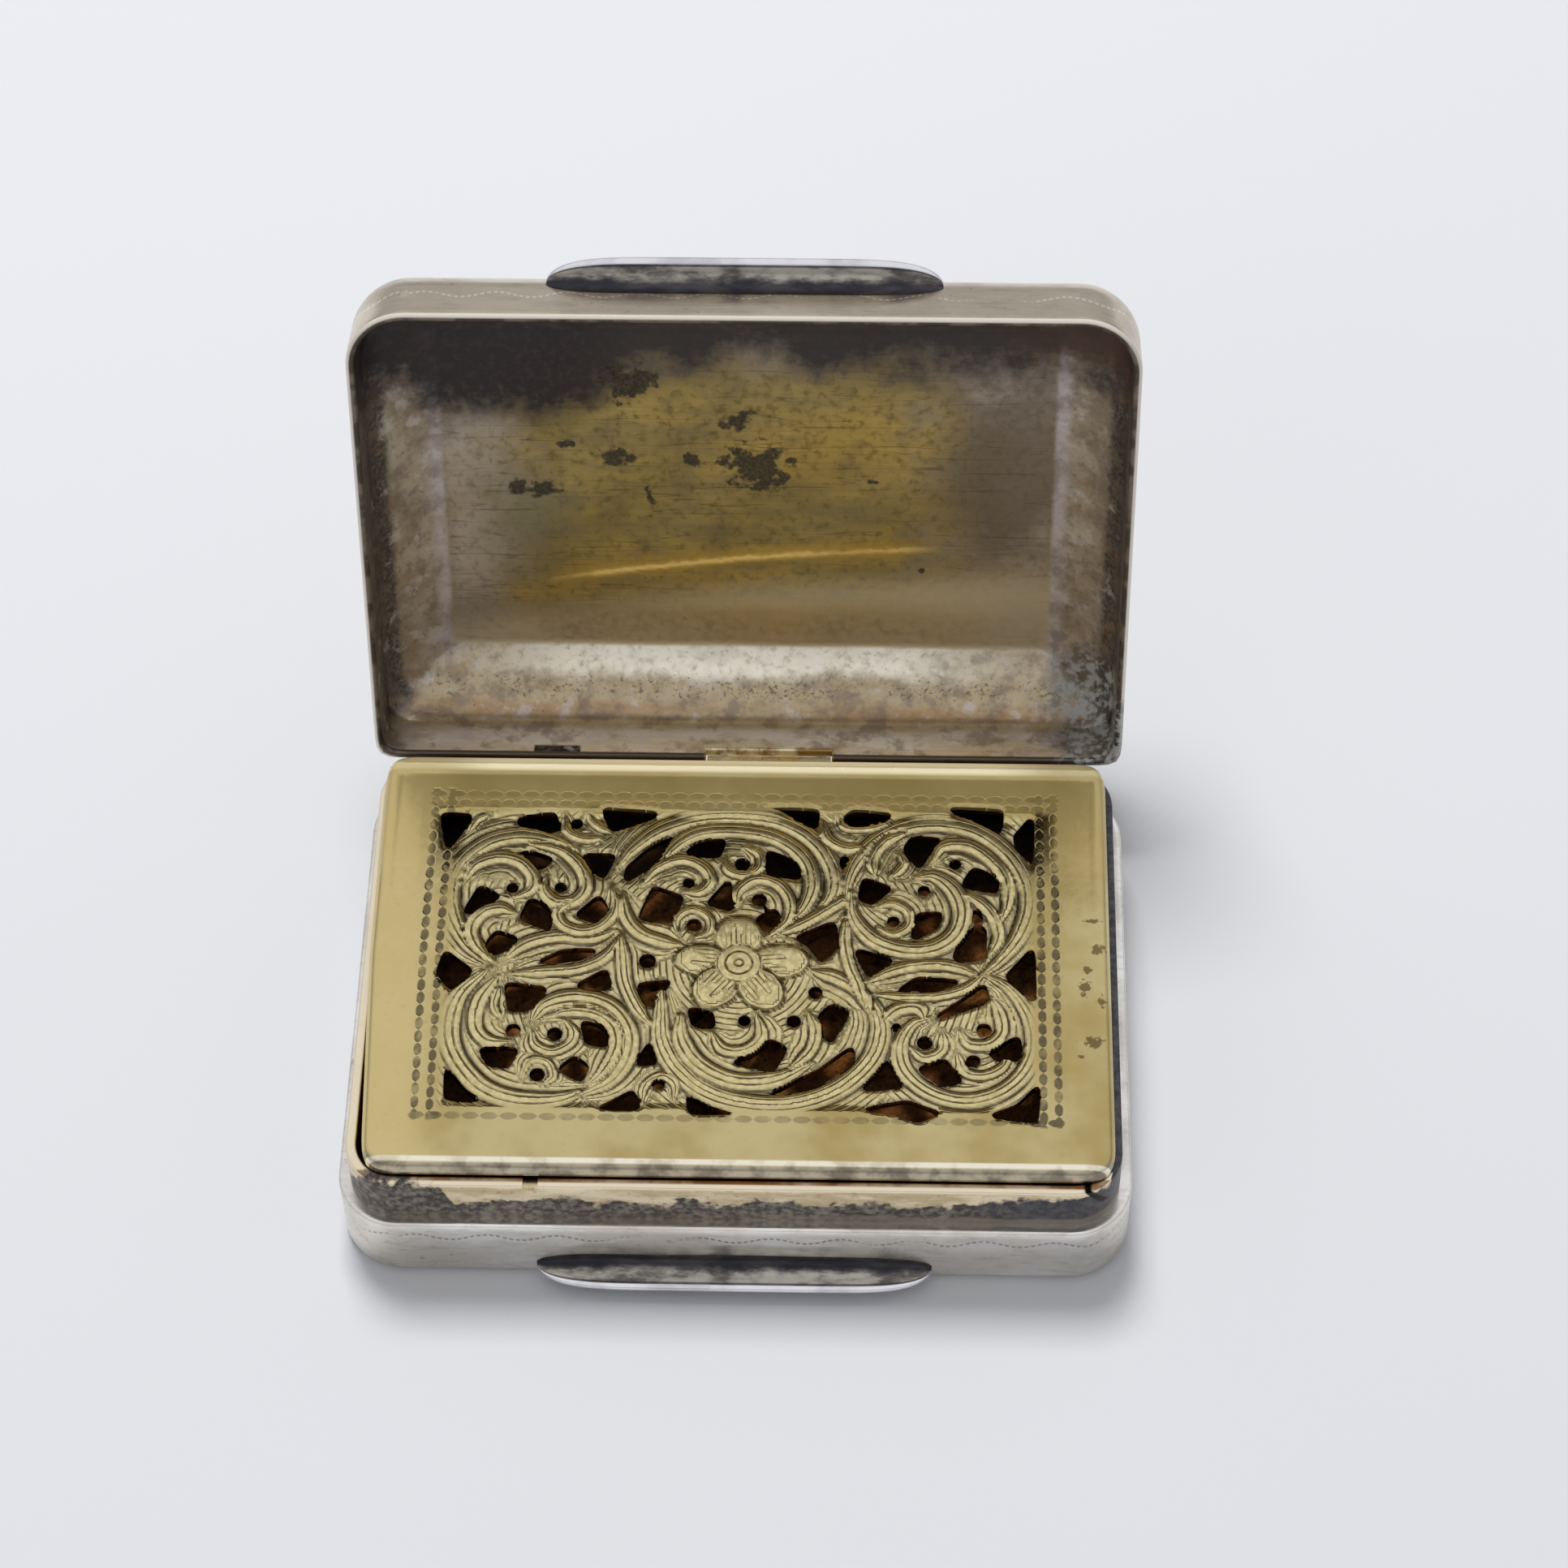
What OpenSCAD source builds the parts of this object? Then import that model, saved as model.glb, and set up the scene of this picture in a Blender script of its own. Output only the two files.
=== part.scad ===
// Silver vinaigrette: a small hinged box with a gilt pierced grille over a scented sponge.
// The frame stands under the middle of the base: X along the width, +Y to the hinge, +Z up.
// The lid is drawn standing open and the grille shut, as the box is shown in use.

/* [Box] */
// Width of the box, left to right
box_w = 32; // [31:0.5:38]
// Depth of the box, front to back, without lips and hinge
box_d = 22; // [21.5:0.5:26]
// Radius of the upright corners
corner_r = 2.5; // [2.5:0.1:2.7]
// Thickness of the silver sheet
sheet = 0.35; // [0.3:0.05:0.4]

/* [Base] */
// Height of the base up to the ledge that the lid closes on
base_h = 3.7; // [3.4:0.1:5]
// Radius of the lower outside edge
base_edge_r = 0.5; // [0.3:0.05:0.8]
// Width of the ledge around the bezel
ledge_w = 0.5; // [0.5:0.05:0.6]

/* [Bezel] */
// How far the bezel stands above the ledge
bezel_rise = 2.4; // [2.2:0.1:2.5]
// Thickness of the bezel strip
bezel_t = 0.45; // [0.4:0.05:0.5]
// Height of the bezel's foot inside the base
bezel_foot = 1.2; // [1:0.1:1.6]

/* [Lid] */
// Height of the lid, rim to top
lid_h = 4.8; // [4.5:0.05:5]
// Radius of the lid's upper outside edge
lid_edge_r = 2.45; // [1.8:0.05:2.45]
// Height of the thumb lip's upper side above the lid's rim
lid_lip_up = 3; // [2.4:0.1:3]
// How far the lid stands open, in degrees
lid_open = 107; // [95:0.5:107]
// Gap under the rim of the shut lid
rim_gap = 0.05; // [0.02:0.01:0.1]

/* [Grille] */
// How far the plate's sides stand in from the bezel's outer face
grille_side_in = 0.3; // [0.25:0.05:0.3]
// How far the plate's front and back stand in from the bezel's outer face
grille_front_in = 0.65; // [0.6:0.05:0.7]
// Height of the grille's top above the bezel's rim
grille_rise = 0.8; // [0.7:0.05:0.8]
// Thickness of the pierced plate
grille_t = 0.5; // [0.4:0.05:0.5]
// Rounding of the plate's upper edge
grille_edge_r = 0.5; // [0.3:0.05:0.5]
// Depth of the flange that drops inside the bezel
flange_drop = 1; // [0.6:0.1:1.2]

/* [Hinge] */
// Distance of the hinge axis behind the back wall
hinge_out = 0.6; // [0.6:0.02:0.7]
// Height of the hinge axis above the ledge
hinge_up = 0.5; // [0.45:0.05:0.55]
// Outside radius of the knuckles
knuckle_r = 0.55; // [0.52:0.01:0.55]
// Radius of the hinge pin
pin_r = 0.28; // [0.24:0.02:0.3]
// Running gap around the pin in the turning knuckles
run_gap = 0.03; // [0.02:0.01:0.05]
// Gap between the ends of neighbouring knuckles
end_gap = 0.1; // [0.06:0.02:0.2]
// Thickness of the joint strips
strip_t = 0.2; // [0.15:0.05:0.25]

/* [Thumb lips] */
// Width of both thumb lips
lip_w = 16; // [12:0.5:18]
// How far a lip stands out from the front
lip_out = 1.1; // [0.8:0.1:1.4]
// Thickness of a lip's edge
lip_t = 0.4; // [0.3:0.05:0.5]
// Height of a lip's hollow root on the wall
lip_root = 1.1; // [0.9:0.1:1.2]

/* [Sponge] */
// Height of the sponge
sponge_h = 4.4; // [3:0.1:4.5]
// Room between the sponge and the bezel
sponge_gap = 0.45; // [0.3:0.05:0.6]

/* [Hidden] */
$fn = 64;

silver = "#b7b1a8";
worn_silver = "#9b958c";
gilt = "#c6a854";
worn_gilt = "#b09463";
sponge_brown = "#8a6136";

half_d = box_d / 2;
bezel_r = corner_r - ledge_w;
bezel_w = box_w - 2 * ledge_w;
bezel_d = box_d - 2 * ledge_w;
bezel_top = base_h + bezel_rise;
grille_w = bezel_w - 2 * grille_side_in;
grille_d = bezel_d - 2 * grille_front_in;
grille_top = bezel_top + grille_rise;
grille_under = grille_top - grille_t;
grille_corner_r = bezel_r - grille_side_in;
lid_rim = base_h + rim_gap;
lid_top = base_h + lid_h;
hinge_y = half_d + hinge_out;
hinge_z = base_h + hinge_up;
// Cuts between the knuckles along the pin, left to right
knuckle_cuts = [-13.2, -10.5, -6.9, -1.8, 3.6, 7.3, 10.6, 13.3];
// Underside and thickness of the strap from the grille to its knuckle, and the room around it
strap_room = 0.08;
strap_low = base_h + strap_room;
strap_t = 0.45;
strap_x = knuckle_cuts[3] - strap_room;
strap_gap_w = knuckle_cuts[4] - knuckle_cuts[3] + 2 * strap_room;
// Length of the plug that closes each end of the hinge
plug_l = 0.25;
// Height of the turned-in rim that the bezel is soldered to
ledge_t = 0.6;
// Width and play of the edge that the grille turns down onto the bezel
grille_turn_w = 0.2;
grille_play = 0.05;
// Room at the flange's sides inside the bezel, and the y at which its side arms end
flange_room = 0.35;
flange_t = 0.35;
flange_end_y = 7.5;
arc_steps = 6;
tiny = 0.01;

// Drilled scroll eyes of the grille: [x, y, radius]
eyes = [
    [-7.0, 6.7, 0.3], [-9.5, 3.4, 0.3], [-7.5, 3.45, 0.3],
    [-9.05, -3.6, 0.35], [-7.35, -3.75, 0.35], [-7.95, -5.7, 0.35], [-3.05, -6.1, 0.3],
    [0, 4.75, 0.35], [-2.2, 3.75, 0.3], [-1.9, 1.65, 0.35], [0.75, 2.95, 0.35],
    [-3.75, -0.15, 0.38], [0.3, -3, 0.3], [2.3, -3, 0.33], [3.15, -1.6, 0.33],
    [8.85, 4.85, 0.3], [7.55, 3.5, 0.3], [6.3, 1.95, 0.3],
    [10, -3.3, 0.35], [7.6, -3.95, 0.35], [9.55, -4.8, 0.33]
];
// Sawn piercings between the scrolls, each as the corners of its outline
saw_cuts_left = [
    [[-12.6, 7], [-11.5, 7], [-12.3, 5.4]],
    [[-9.4, 6.9], [-8, 7.1], [-7.75, 6.4], [-9.3, 6.35]],
    [[-9.5, 5.15], [-8.8, 5.15], [-8, 4.85], [-8.45, 4.4]],
    [[-6.75, 5.05], [-5.4, 5.05], [-5.8, 4.05]],
    [[-10.1, 2.95], [-10.8, 3.4], [-11.4, 2.1], [-10.6, 2.6]],
    [[-8.7, 2.8], [-7.8, 2.3], [-7.9, 1.4], [-9, 1.9]],
    [[-5.9, 2.95], [-5.35, 2], [-6, 1.8], [-6.7, 2.1]],
    [[-10, 1.15], [-9.1, 0.8], [-10.1, 0.1], [-10.4, 0.5]],
    [[-5.95, 0.3], [-6.6, -0.05], [-8.1, -0.25], [-7.2, 0.25]],
    [[-12, 0.05], [-11, -0.75], [-11.75, -1.6], [-12.25, -0.9]],
    [[-5.45, -0.7], [-5.3, -1.5], [-6.5, -1.4]],
    [[-9.4, -1.4], [-7.9, -1.6], [-8.3, -2.5], [-9.2, -2.6]],
    [[-6.2, -3.2], [-5.3, -3.5], [-4.95, -4.3], [-6, -4.1]],
    [[-10.3, -4.5], [-8.9, -4.55], [-9.2, -5.3], [-9.9, -5.2]],
    [[-6.5, -4.9], [-6, -5.3], [-6.2, -5.9], [-7, -5.4]],
    [[-11.65, -5.4], [-11, -6.2], [-9.8, -6.95], [-11.6, -6.85]],
    [[-4.1, -6.5], [-3.85, -7.25], [-5.3, -7.25], [-4.7, -6.9]]
];
saw_cuts_middle = [
    [[-5.85, 7.35], [-3.7, 7.2], [-5.45, 6.45]],
    [[-2.6, 6.35], [-3.9, 4.6], [-4.8, 3.9], [-4.7, 4.5], [-3.9, 5.4]],
    [[-0.75, 6.2], [-1.05, 5.15], [-2.3, 5.3], [-1.6, 5.95]],
    [[0.9, 7.5], [3.05, 7.4], [2.9, 6.2]],
    [[1.05, 5.35], [2.1, 4.9], [2.4, 4.1], [1.1, 4.35]],
    [[-3.6, 3.45], [-2.5, 3], [-2.9, 1.8], [-4.1, 2]],
    [[-0.55, 3.8], [-0.4, 2.5], [-1.3, 2.75]],
    [[0.55, 1.85], [1.4, 2.4], [1.7, 1.7], [1.1, 1.35]],
    [[3.8, 1.8], [4, 0.8], [3.4, 0], [2.95, 0.7], [2.4, 1.1]],
    [[-4, -1.35], [-2.85, -1.15], [-3.2, -2.4], [-3.7, -2.2]],
    [[-3.4, -4], [-2.8, -5], [-3.9, -5.1]],
    [[-1.9, -2.5], [-1.1, -2.6], [-1, -3.3], [-1.7, -3.2]],
    [[1.05, -3.8], [1.95, -4.3], [1.5, -5.3], [0, -5]],
    [[3.85, -2.25], [4.45, -2.5], [3.8, -3.9], [3.15, -3]],
    [[4.65, -4.3], [4.7, -4.9], [3.2, -6], [1.4, -6.5], [3.4, -5.4]],
    [[-1.85, -6.35], [-1.2, -6.9], [0, -7.4], [-1.7, -7.4]]
];
saw_cuts_right = [
    [[4.05, 6.9], [4.6, 7.4], [6.1, 7.25], [5.2, 6.9]],
    [[8.7, 7.6], [10.75, 7.5], [10.65, 6.3]],
    [[12, 7.1], [11.95, 4.7], [11.65, 4.7], [11.4, 6.3]],
    [[8.2, 6.1], [7.1, 6.15], [6.8, 5.6], [7.35, 4.75], [7.7, 5.5]],
    [[4.85, 5.2], [3.55, 5.05], [4.05, 3.75]],
    [[9.65, 4.6], [10.4, 4.25], [10.8, 3.5], [9.2, 3.8]],
    [[5.1, 4], [6.1, 3.6], [5.4, 2.9], [4.95, 3.1]],
    [[7.1, 2.25], [8.2, 2.35], [8.05, 1.75], [7.15, 1.15]],
    [[9.7, 2.7], [9.9, 2.1], [9.3, 2.1]],
    [[9.15, 1.5], [10, 1.6], [9.95, 0.2], [8.85, 0.1]],
    [[4.85, 0.45], [6.2, 0.05], [5.35, -0.75]],
    [[11.95, 0.5], [12, -1.7], [11, -0.7]],
    [[7.3, -0.9], [8.9, -1], [7.9, -1.35], [6.4, -1.6]],
    [[10, -1.2], [10.05, -1.9], [8.15, -2.7], [9.2, -1.9]],
    [[6.6, -3.15], [6.1, -3.1], [6, -4.4]],
    [[5.95, -4.6], [6.65, -6], [5.2, -6.15]],
    [[11.35, -3.7], [11.4, -4.6], [10.85, -4.9], [10.2, -4.35]],
    [[8.3, -4.7], [9, -5.75], [8.3, -5.9], [7.45, -5.2]],
    [[5.3, -7.15], [6.9, -6.8], [8.1, -7.3], [7.3, -7.65], [6.4, -7.3]],
    [[12.1, -6.1], [12, -7.6], [10.35, -7.4], [11.4, -6.9]]
];
saw_cuts = concat(saw_cuts_left, saw_cuts_middle, saw_cuts_right);

// Points along an arc from angle a0 to a1
function arc(cx, cy, r, a0, a1) = [
    for (i = [0:arc_steps])
        let (a = a0 + (a1 - a0) * i / arc_steps)
            [cx + r * cos(a), cy + r * sin(a)]
];

// Outline of a rounded rectangle about the middle
module plan(w, d, r) {
    square([w - 2 * r, d], center = true);
    square([w, d - 2 * r], center = true);
    for (x = [-1, 1], y = [-1, 1])
        translate([x * (w / 2 - r), y * (d / 2 - r)])
            circle(r);
}

// Carries a section around a rounded rectangle. The section's x runs outward from the
// corner's centre, and its y runs up.
module around(w, d, r) {
    for (k = [0:3]) {
        reach = (k % 2 == 0 ? w : d) / 2 - r;
        run = (k % 2 == 0 ? d : w) - 2 * r;
        rotate(90 * k)
            translate([reach, run / 2, 0]) {
                rotate([90, 0, 0])
                    linear_extrude(run)
                        children();
                rotate_extrude(angle = 90)
                    children();
            }
    }
}

// Flat plate between the corner centres, standing on height z
module middle(w, d, r, z, t) {
    translate([-w / 2 + r, -d / 2 + r, z])
        cube([w - 2 * r, d - 2 * r, t]);
}

// Extrudes a section given in (y, z) along X, from x0 to x1
module along_x(x0, x1) {
    translate([x0, 0, 0])
        rotate([90, 0, 90])
            linear_extrude(x1 - x0)
                children();
}

// Turns the shut lid back to where it stands open
module opened() {
    translate([0, hinge_y, hinge_z])
        rotate([-lid_open, 0, 0])
            translate([0, -hinge_y, -hinge_z])
                children();
}

// Body of knuckle i: a tube on the hinge axis with a leaf of the given outline
module knuckle(i, leaf, bore_r) {
    x0 = knuckle_cuts[i] + end_gap / 2;
    x1 = knuckle_cuts[i + 1] - end_gap / 2;
    difference() {
        along_x(x0, x1) {
            translate([hinge_y, hinge_z])
                circle(knuckle_r);
            polygon(leaf);
        }
        along_x(x0 - tiny, x1 + tiny)
            translate([hinge_y, hinge_z])
                circle(bore_r);
    }
}

// Leaves that reach from the tube to the joint strips, as (y, z) outlines. A base leaf stays
// just under the height of the axis and a lid leaf just above it.
strip_back = half_d + strip_t;
root_r = (pin_r + run_gap + knuckle_r) / 2;
leaf_t = 0.3;
leaf_slope = 0.2;
leaf_gap = 0.05;
base_leaf_low = base_h - 1;
lid_leaf_high = hinge_z + 1.25;
base_leaf = [
    [strip_back, base_leaf_low], [strip_back + leaf_t, base_leaf_low + leaf_slope],
    [hinge_y, hinge_z - root_r], [strip_back, hinge_z - leaf_gap]
];
lid_leaf = [
    [strip_back, lid_leaf_high], [strip_back, hinge_z + leaf_gap],
    [hinge_y, hinge_z + root_r], [strip_back + leaf_t, lid_leaf_high - leaf_slope]
];

module base_knuckle(i) {
    color(worn_silver)
        knuckle(i, base_leaf, pin_r);
}

module lid_knuckle(i) {
    color(worn_silver)
        opened()
            knuckle(i, lid_leaf, pin_r + run_gap);
}

// Thumb lip with a hollow upper side, its wall at y = 0 and its underside at z = 0. Its root
// reaches lip_sink behind that wall, to be cut back to the form that carries it.
module thumb_lip(lip_sink = 0) {
    hollow_r = lip_root - lip_t;
    intersection() {
        along_x(-lip_w / 2, lip_w / 2)
            polygon(concat(
                [[-lip_out, 0], [lip_sink, 0], [lip_sink, lip_root]],
                arc(-hollow_r, lip_root, hollow_r, 0, -90),
                [[-lip_out, lip_t]]
            ));
        linear_extrude(lip_root) {
            intersection() {
                plan(lip_w, 2 * lip_out, lip_out - tiny);
                translate([-lip_w / 2, -lip_out])
                    square([lip_w, lip_out]);
            }
            translate([-lip_w / 2, -tiny])
                square([lip_w, lip_sink + tiny]);
        }
    }
}

module base_pan() {
    inner_r = 0.3;
    wall = corner_r - sheet;
    color(silver) {
        around(box_w, box_d, corner_r)
            polygon(concat(
                [[0, 0]],
                arc(corner_r - base_edge_r, base_edge_r, base_edge_r, -90, 0),
                [[corner_r, base_h], [bezel_r, base_h], [bezel_r, base_h - ledge_t]],
                [[wall, base_h - ledge_t]],
                arc(wall - inner_r, sheet + inner_r, inner_r, 0, -90),
                [[0, sheet]]
            ));
        middle(box_w, box_d, corner_r, 0, sheet);
    }
}

module base_bezel() {
    nick_x = -8;
    nick_w = 0.6;
    nick_h = 0.2;
    color(worn_gilt)
        difference() {
            around(bezel_w, bezel_d, bezel_r)
                translate([bezel_r - bezel_t, bezel_foot])
                    square([bezel_t, bezel_top - bezel_foot]);
            // Way for the grille's strap at the back
            translate([strap_x, 0, strap_low - strap_room / 2])
                cube([strap_gap_w, half_d, bezel_top]);
            // Fingernail nick in the front rim
            translate([nick_x - nick_w / 2, -half_d, bezel_top - nick_h])
                cube([nick_w, half_d / 2, 2 * nick_h]);
        }
}

module base_thumb_lip() {
    color(silver)
        translate([0, -half_d, base_edge_r])
            thumb_lip();
}

module base_joint_strip() {
    strip_h = 1.05;
    color(worn_silver)
        translate([knuckle_cuts[0], half_d, base_h - rim_gap - strip_h])
            cube([knuckle_cuts[7] - knuckle_cuts[0], strip_t, strip_h]);
}

module base_knuckle_far_left() {
    base_knuckle(0);
}

module base_knuckle_left() {
    base_knuckle(2);
}

module base_knuckle_right() {
    base_knuckle(4);
}

module base_knuckle_far_right() {
    base_knuckle(6);
}

// Round bar on the hinge axis
module pin_bar(x0, x1) {
    color(worn_silver)
        along_x(x0, x1)
            translate([hinge_y, hinge_z])
                circle(pin_r);
}

module hinge_pin() {
    pin_bar(knuckle_cuts[0] + end_gap / 2 + plug_l, knuckle_cuts[7] - end_gap / 2 - plug_l);
}

module pin_plug_left() {
    pin_bar(knuckle_cuts[0] + end_gap / 2, knuckle_cuts[0] + end_gap / 2 + plug_l);
}

module pin_plug_right() {
    pin_bar(knuckle_cuts[7] - end_gap / 2 - plug_l, knuckle_cuts[7] - end_gap / 2);
}

module sponge() {
    less = 2 * (bezel_t + sponge_gap);
    sponge_r = 0.8;
    color(sponge_brown)
        translate([0, 0, sheet])
            linear_extrude(sponge_h)
                plan(bezel_w - less, bezel_d - less, sponge_r);
}

module grille_plate() {
    r = grille_corner_r;
    turn = r - grille_turn_w;
    foot = bezel_top + grille_play;
    color(gilt) {
        around(grille_w, grille_d, r)
            polygon(concat(
                [[0, grille_under], [turn, grille_under], [turn, foot], [r, foot]],
                arc(r - grille_edge_r, grille_top - grille_edge_r, grille_edge_r, 0, 90),
                [[0, grille_top]]
            ));
        translate([0, 0, grille_under])
            linear_extrude(grille_t)
                difference() {
                    square([grille_w - 2 * r, grille_d - 2 * r], center = true);
                    for (e = eyes)
                        translate([e.x, e.y])
                            circle(e.z);
                    for (c = saw_cuts)
                        polygon(c);
                }
    }
}

module grille_flange() {
    outer_w = bezel_w - 2 * (bezel_t + flange_room);
    outer_d = grille_d - 2 * grille_turn_w;
    flange_r = bezel_r - bezel_t - flange_room;
    color(worn_gilt)
        translate([0, 0, grille_under - flange_drop])
            linear_extrude(flange_drop)
                difference() {
                    plan(outer_w, outer_d, flange_r);
                    plan(outer_w - 2 * flange_t, outer_d - 2 * flange_t, flange_r - flange_t);
                    translate([-box_w / 2, flange_end_y])
                        square([box_w, box_d]);
                }
}

module grille_strap() {
    back = grille_d / 2;
    leg_t = 0.4;
    leg_top = grille_top - 0.2;
    leg_bevel = 0.3;
    color(gilt)
        knuckle(3, [
            [back, strap_low], [hinge_y - root_r, strap_low], [hinge_y - root_r, strap_low + strap_t],
            [back + leg_t, strap_low + strap_t], [back + leg_t, leg_top - leg_bevel],
            [back + leg_t / 3, leg_top], [back, leg_top]
        ], pin_r + run_gap);
}

// Form of the shut lid's outside, filled
module lid_form() {
    around(box_w, box_d, corner_r)
        polygon(concat(
            [[0, lid_rim], [corner_r, lid_rim]],
            arc(corner_r - lid_edge_r, lid_top - lid_edge_r, lid_edge_r, 0, 90),
            [[0, lid_top]]
        ));
    middle(box_w, box_d, corner_r, lid_rim, lid_top - lid_rim);
}

module lid_pan() {
    inner_r = lid_edge_r - sheet;
    wall = corner_r - sheet;
    strap_clear = strap_low + strap_t + strap_room;
    color(silver)
        opened()
            difference() {
                union() {
                    around(box_w, box_d, corner_r)
                        polygon(concat(
                            [[0, lid_top - sheet]],
                            arc(wall - inner_r, lid_top - lid_edge_r, inner_r, 90, 0),
                            [[wall, lid_rim], [corner_r, lid_rim]],
                            arc(corner_r - lid_edge_r, lid_top - lid_edge_r, lid_edge_r, 0, 90),
                            [[0, lid_top]]
                        ));
                    middle(box_w, box_d, corner_r, lid_top - sheet, sheet);
                }
                // Way for the grille's strap through the back wall
                translate([strap_x, half_d - 2 * sheet, 0])
                    cube([strap_gap_w, 4 * sheet, strap_clear]);
            }
}

module lid_thumb_lip() {
    lip_sink = 0.3;
    color(silver)
        opened()
            difference() {
                translate([0, -half_d, lid_rim + lid_lip_up])
                    mirror([0, 0, 1])
                        thumb_lip(lip_sink);
                lid_form();
            }
}

// Stretch of the lid's joint strip between two cuts
module lid_joint_strip(x0, x1) {
    strip_h = 0.85;
    color(worn_silver)
        opened()
            translate([x0, half_d, hinge_z + knuckle_r])
                cube([x1 - x0, strip_t, strip_h]);
}

module lid_joint_strip_left() {
    lid_joint_strip(knuckle_cuts[0], knuckle_cuts[3] - strap_room);
}

module lid_joint_strip_right() {
    lid_joint_strip(knuckle_cuts[4] + strap_room, knuckle_cuts[7]);
}

module lid_knuckle_left() {
    lid_knuckle(1);
}

module lid_knuckle_right() {
    lid_knuckle(5);
}

base_pan();
base_bezel();
base_thumb_lip();
base_joint_strip();
base_knuckle_far_left();
base_knuckle_left();
base_knuckle_right();
base_knuckle_far_right();
hinge_pin();
pin_plug_left();
pin_plug_right();
sponge();
grille_plate();
grille_flange();
grille_strap();
lid_pan();
lid_thumb_lip();
lid_joint_strip_left();
lid_joint_strip_right();
lid_knuckle_left();
lid_knuckle_right();
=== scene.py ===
import math

import bpy
import numpy as np
from mathutils import Matrix


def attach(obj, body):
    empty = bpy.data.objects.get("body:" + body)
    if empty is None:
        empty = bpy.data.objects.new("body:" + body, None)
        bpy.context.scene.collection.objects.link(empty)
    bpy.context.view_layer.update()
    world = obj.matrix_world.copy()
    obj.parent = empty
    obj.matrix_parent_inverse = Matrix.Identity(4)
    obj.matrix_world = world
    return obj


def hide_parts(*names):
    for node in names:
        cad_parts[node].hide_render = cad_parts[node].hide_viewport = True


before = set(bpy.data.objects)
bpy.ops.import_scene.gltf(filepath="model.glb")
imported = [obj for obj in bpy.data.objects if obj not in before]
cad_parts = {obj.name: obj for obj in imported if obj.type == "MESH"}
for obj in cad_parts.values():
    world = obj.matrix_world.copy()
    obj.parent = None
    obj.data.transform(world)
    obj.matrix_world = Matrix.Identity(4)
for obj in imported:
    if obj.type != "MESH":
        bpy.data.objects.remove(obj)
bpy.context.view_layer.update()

# The base pan: a shallow box raised from silver sheet, with soft upright corners and a narrow ledge
# turned in at the top, on which the lid comes to rest. Its walls are worn warm grey and scratched.
MM = 0.001
SHEET = 0.35
CORNER_X = 13.5
CORNER_Y = 8.5
CORNER_R = 2.5
BASE_H = 3.7
BASE_EDGE_R = 0.5
BASE_RIM_R = 0.14
BASE_INSIDE_R = 0.3
LEDGE_IN = 2.0
LEDGE_T = 0.6
WANDER = 0.015
WRIGGLE_TURN = 2.2
WRIGGLE_SWING = 0.19
WRIGGLE_DOTS = 12.0
CORNER_STEPS = 15


def arc(out, height, radius, start, stop, steps):
    """Section points on a circle about (out, height), from one angle in degrees to another."""
    turn = np.radians(np.linspace(start, stop, steps))
    return np.column_stack([out + radius * np.cos(turn), height + radius * np.sin(turn), np.ones(steps)])


def line(out_a, height_a, out_b, height_b, steps):
    """Section points at even steps on a straight stretch, both ends left out."""
    way = np.linspace(0, 1, steps + 2)[1:-1]
    out = out_a + (out_b - out_a) * way
    height = height_a + (height_b - height_a) * way
    return np.column_stack([out, height, np.ones(steps)])


def floor_rings(out, height, shares):
    """Section points of a floor: the ring at out, drawn in to each share of its size."""
    return np.column_stack([np.full(len(shares), out), np.full(len(shares), height), shares])


def around_path(reach_x, reach_y, spacing, stops=()):
    """Stations around a rounded rectangle, counter-clockwise from its front left corner.

    The spine is the rectangle through the corner centres, cut at even steps and at the stops along x.
    The normal points outwards on each side and sweeps a quarter turn at each corner.
    """
    along_x = np.union1d(np.linspace(-reach_x, reach_x, int(2 * reach_x / spacing) + 1), stops)
    along_y = np.linspace(-reach_y, reach_y, int(2 * reach_y / spacing) + 1)
    turn = np.radians(np.linspace(0, 90, CORNER_STEPS)[1:-1])
    spine = []
    normal = []
    sides = [
        (np.column_stack([along_x, np.full(len(along_x), -reach_y)]), -90),
        (np.column_stack([np.full(len(along_y), reach_x), along_y]), 0),
        (np.column_stack([along_x[::-1], np.full(len(along_x), reach_y)]), 90),
        (np.column_stack([np.full(len(along_y), -reach_x), along_y[::-1]]), 180),
    ]
    for side, facing in sides:
        angle = math.radians(facing)
        sweep = angle + turn
        spine += [side, np.repeat(side[-1:], len(turn), 0)]
        normal += [np.tile([math.cos(angle), math.sin(angle)], (len(side), 1))]
        normal += [np.column_stack([np.cos(sweep), np.sin(sweep)])]
    return np.vstack(spine), np.vstack(normal)


def carry(spine, normal, section):
    """Shell points: (spine + normal * out) * share at the section's height, one row for each station."""
    out, height, share = section.T
    flat = (spine[:, None] + normal[:, None] * out[None, :, None]) * share[None, :, None]
    return np.dstack([flat, np.broadcast_to(height, flat.shape[:2])])


def grid_faces(rows, cols, ring_rows=False, ring_cols=False):
    """Four-cornered faces between neighbouring rows and columns; a ring joins the last to the first."""
    number = np.arange(rows * cols).reshape(rows, cols)
    if ring_rows:
        number = np.vstack([number, number[:1]])
    if ring_cols:
        number = np.hstack([number, number[:, :1]])
    corners = [number[:-1, :-1], number[1:, :-1], number[1:, 1:], number[:-1, 1:]]
    return np.stack(corners, -1).reshape(-1, 4)


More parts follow.
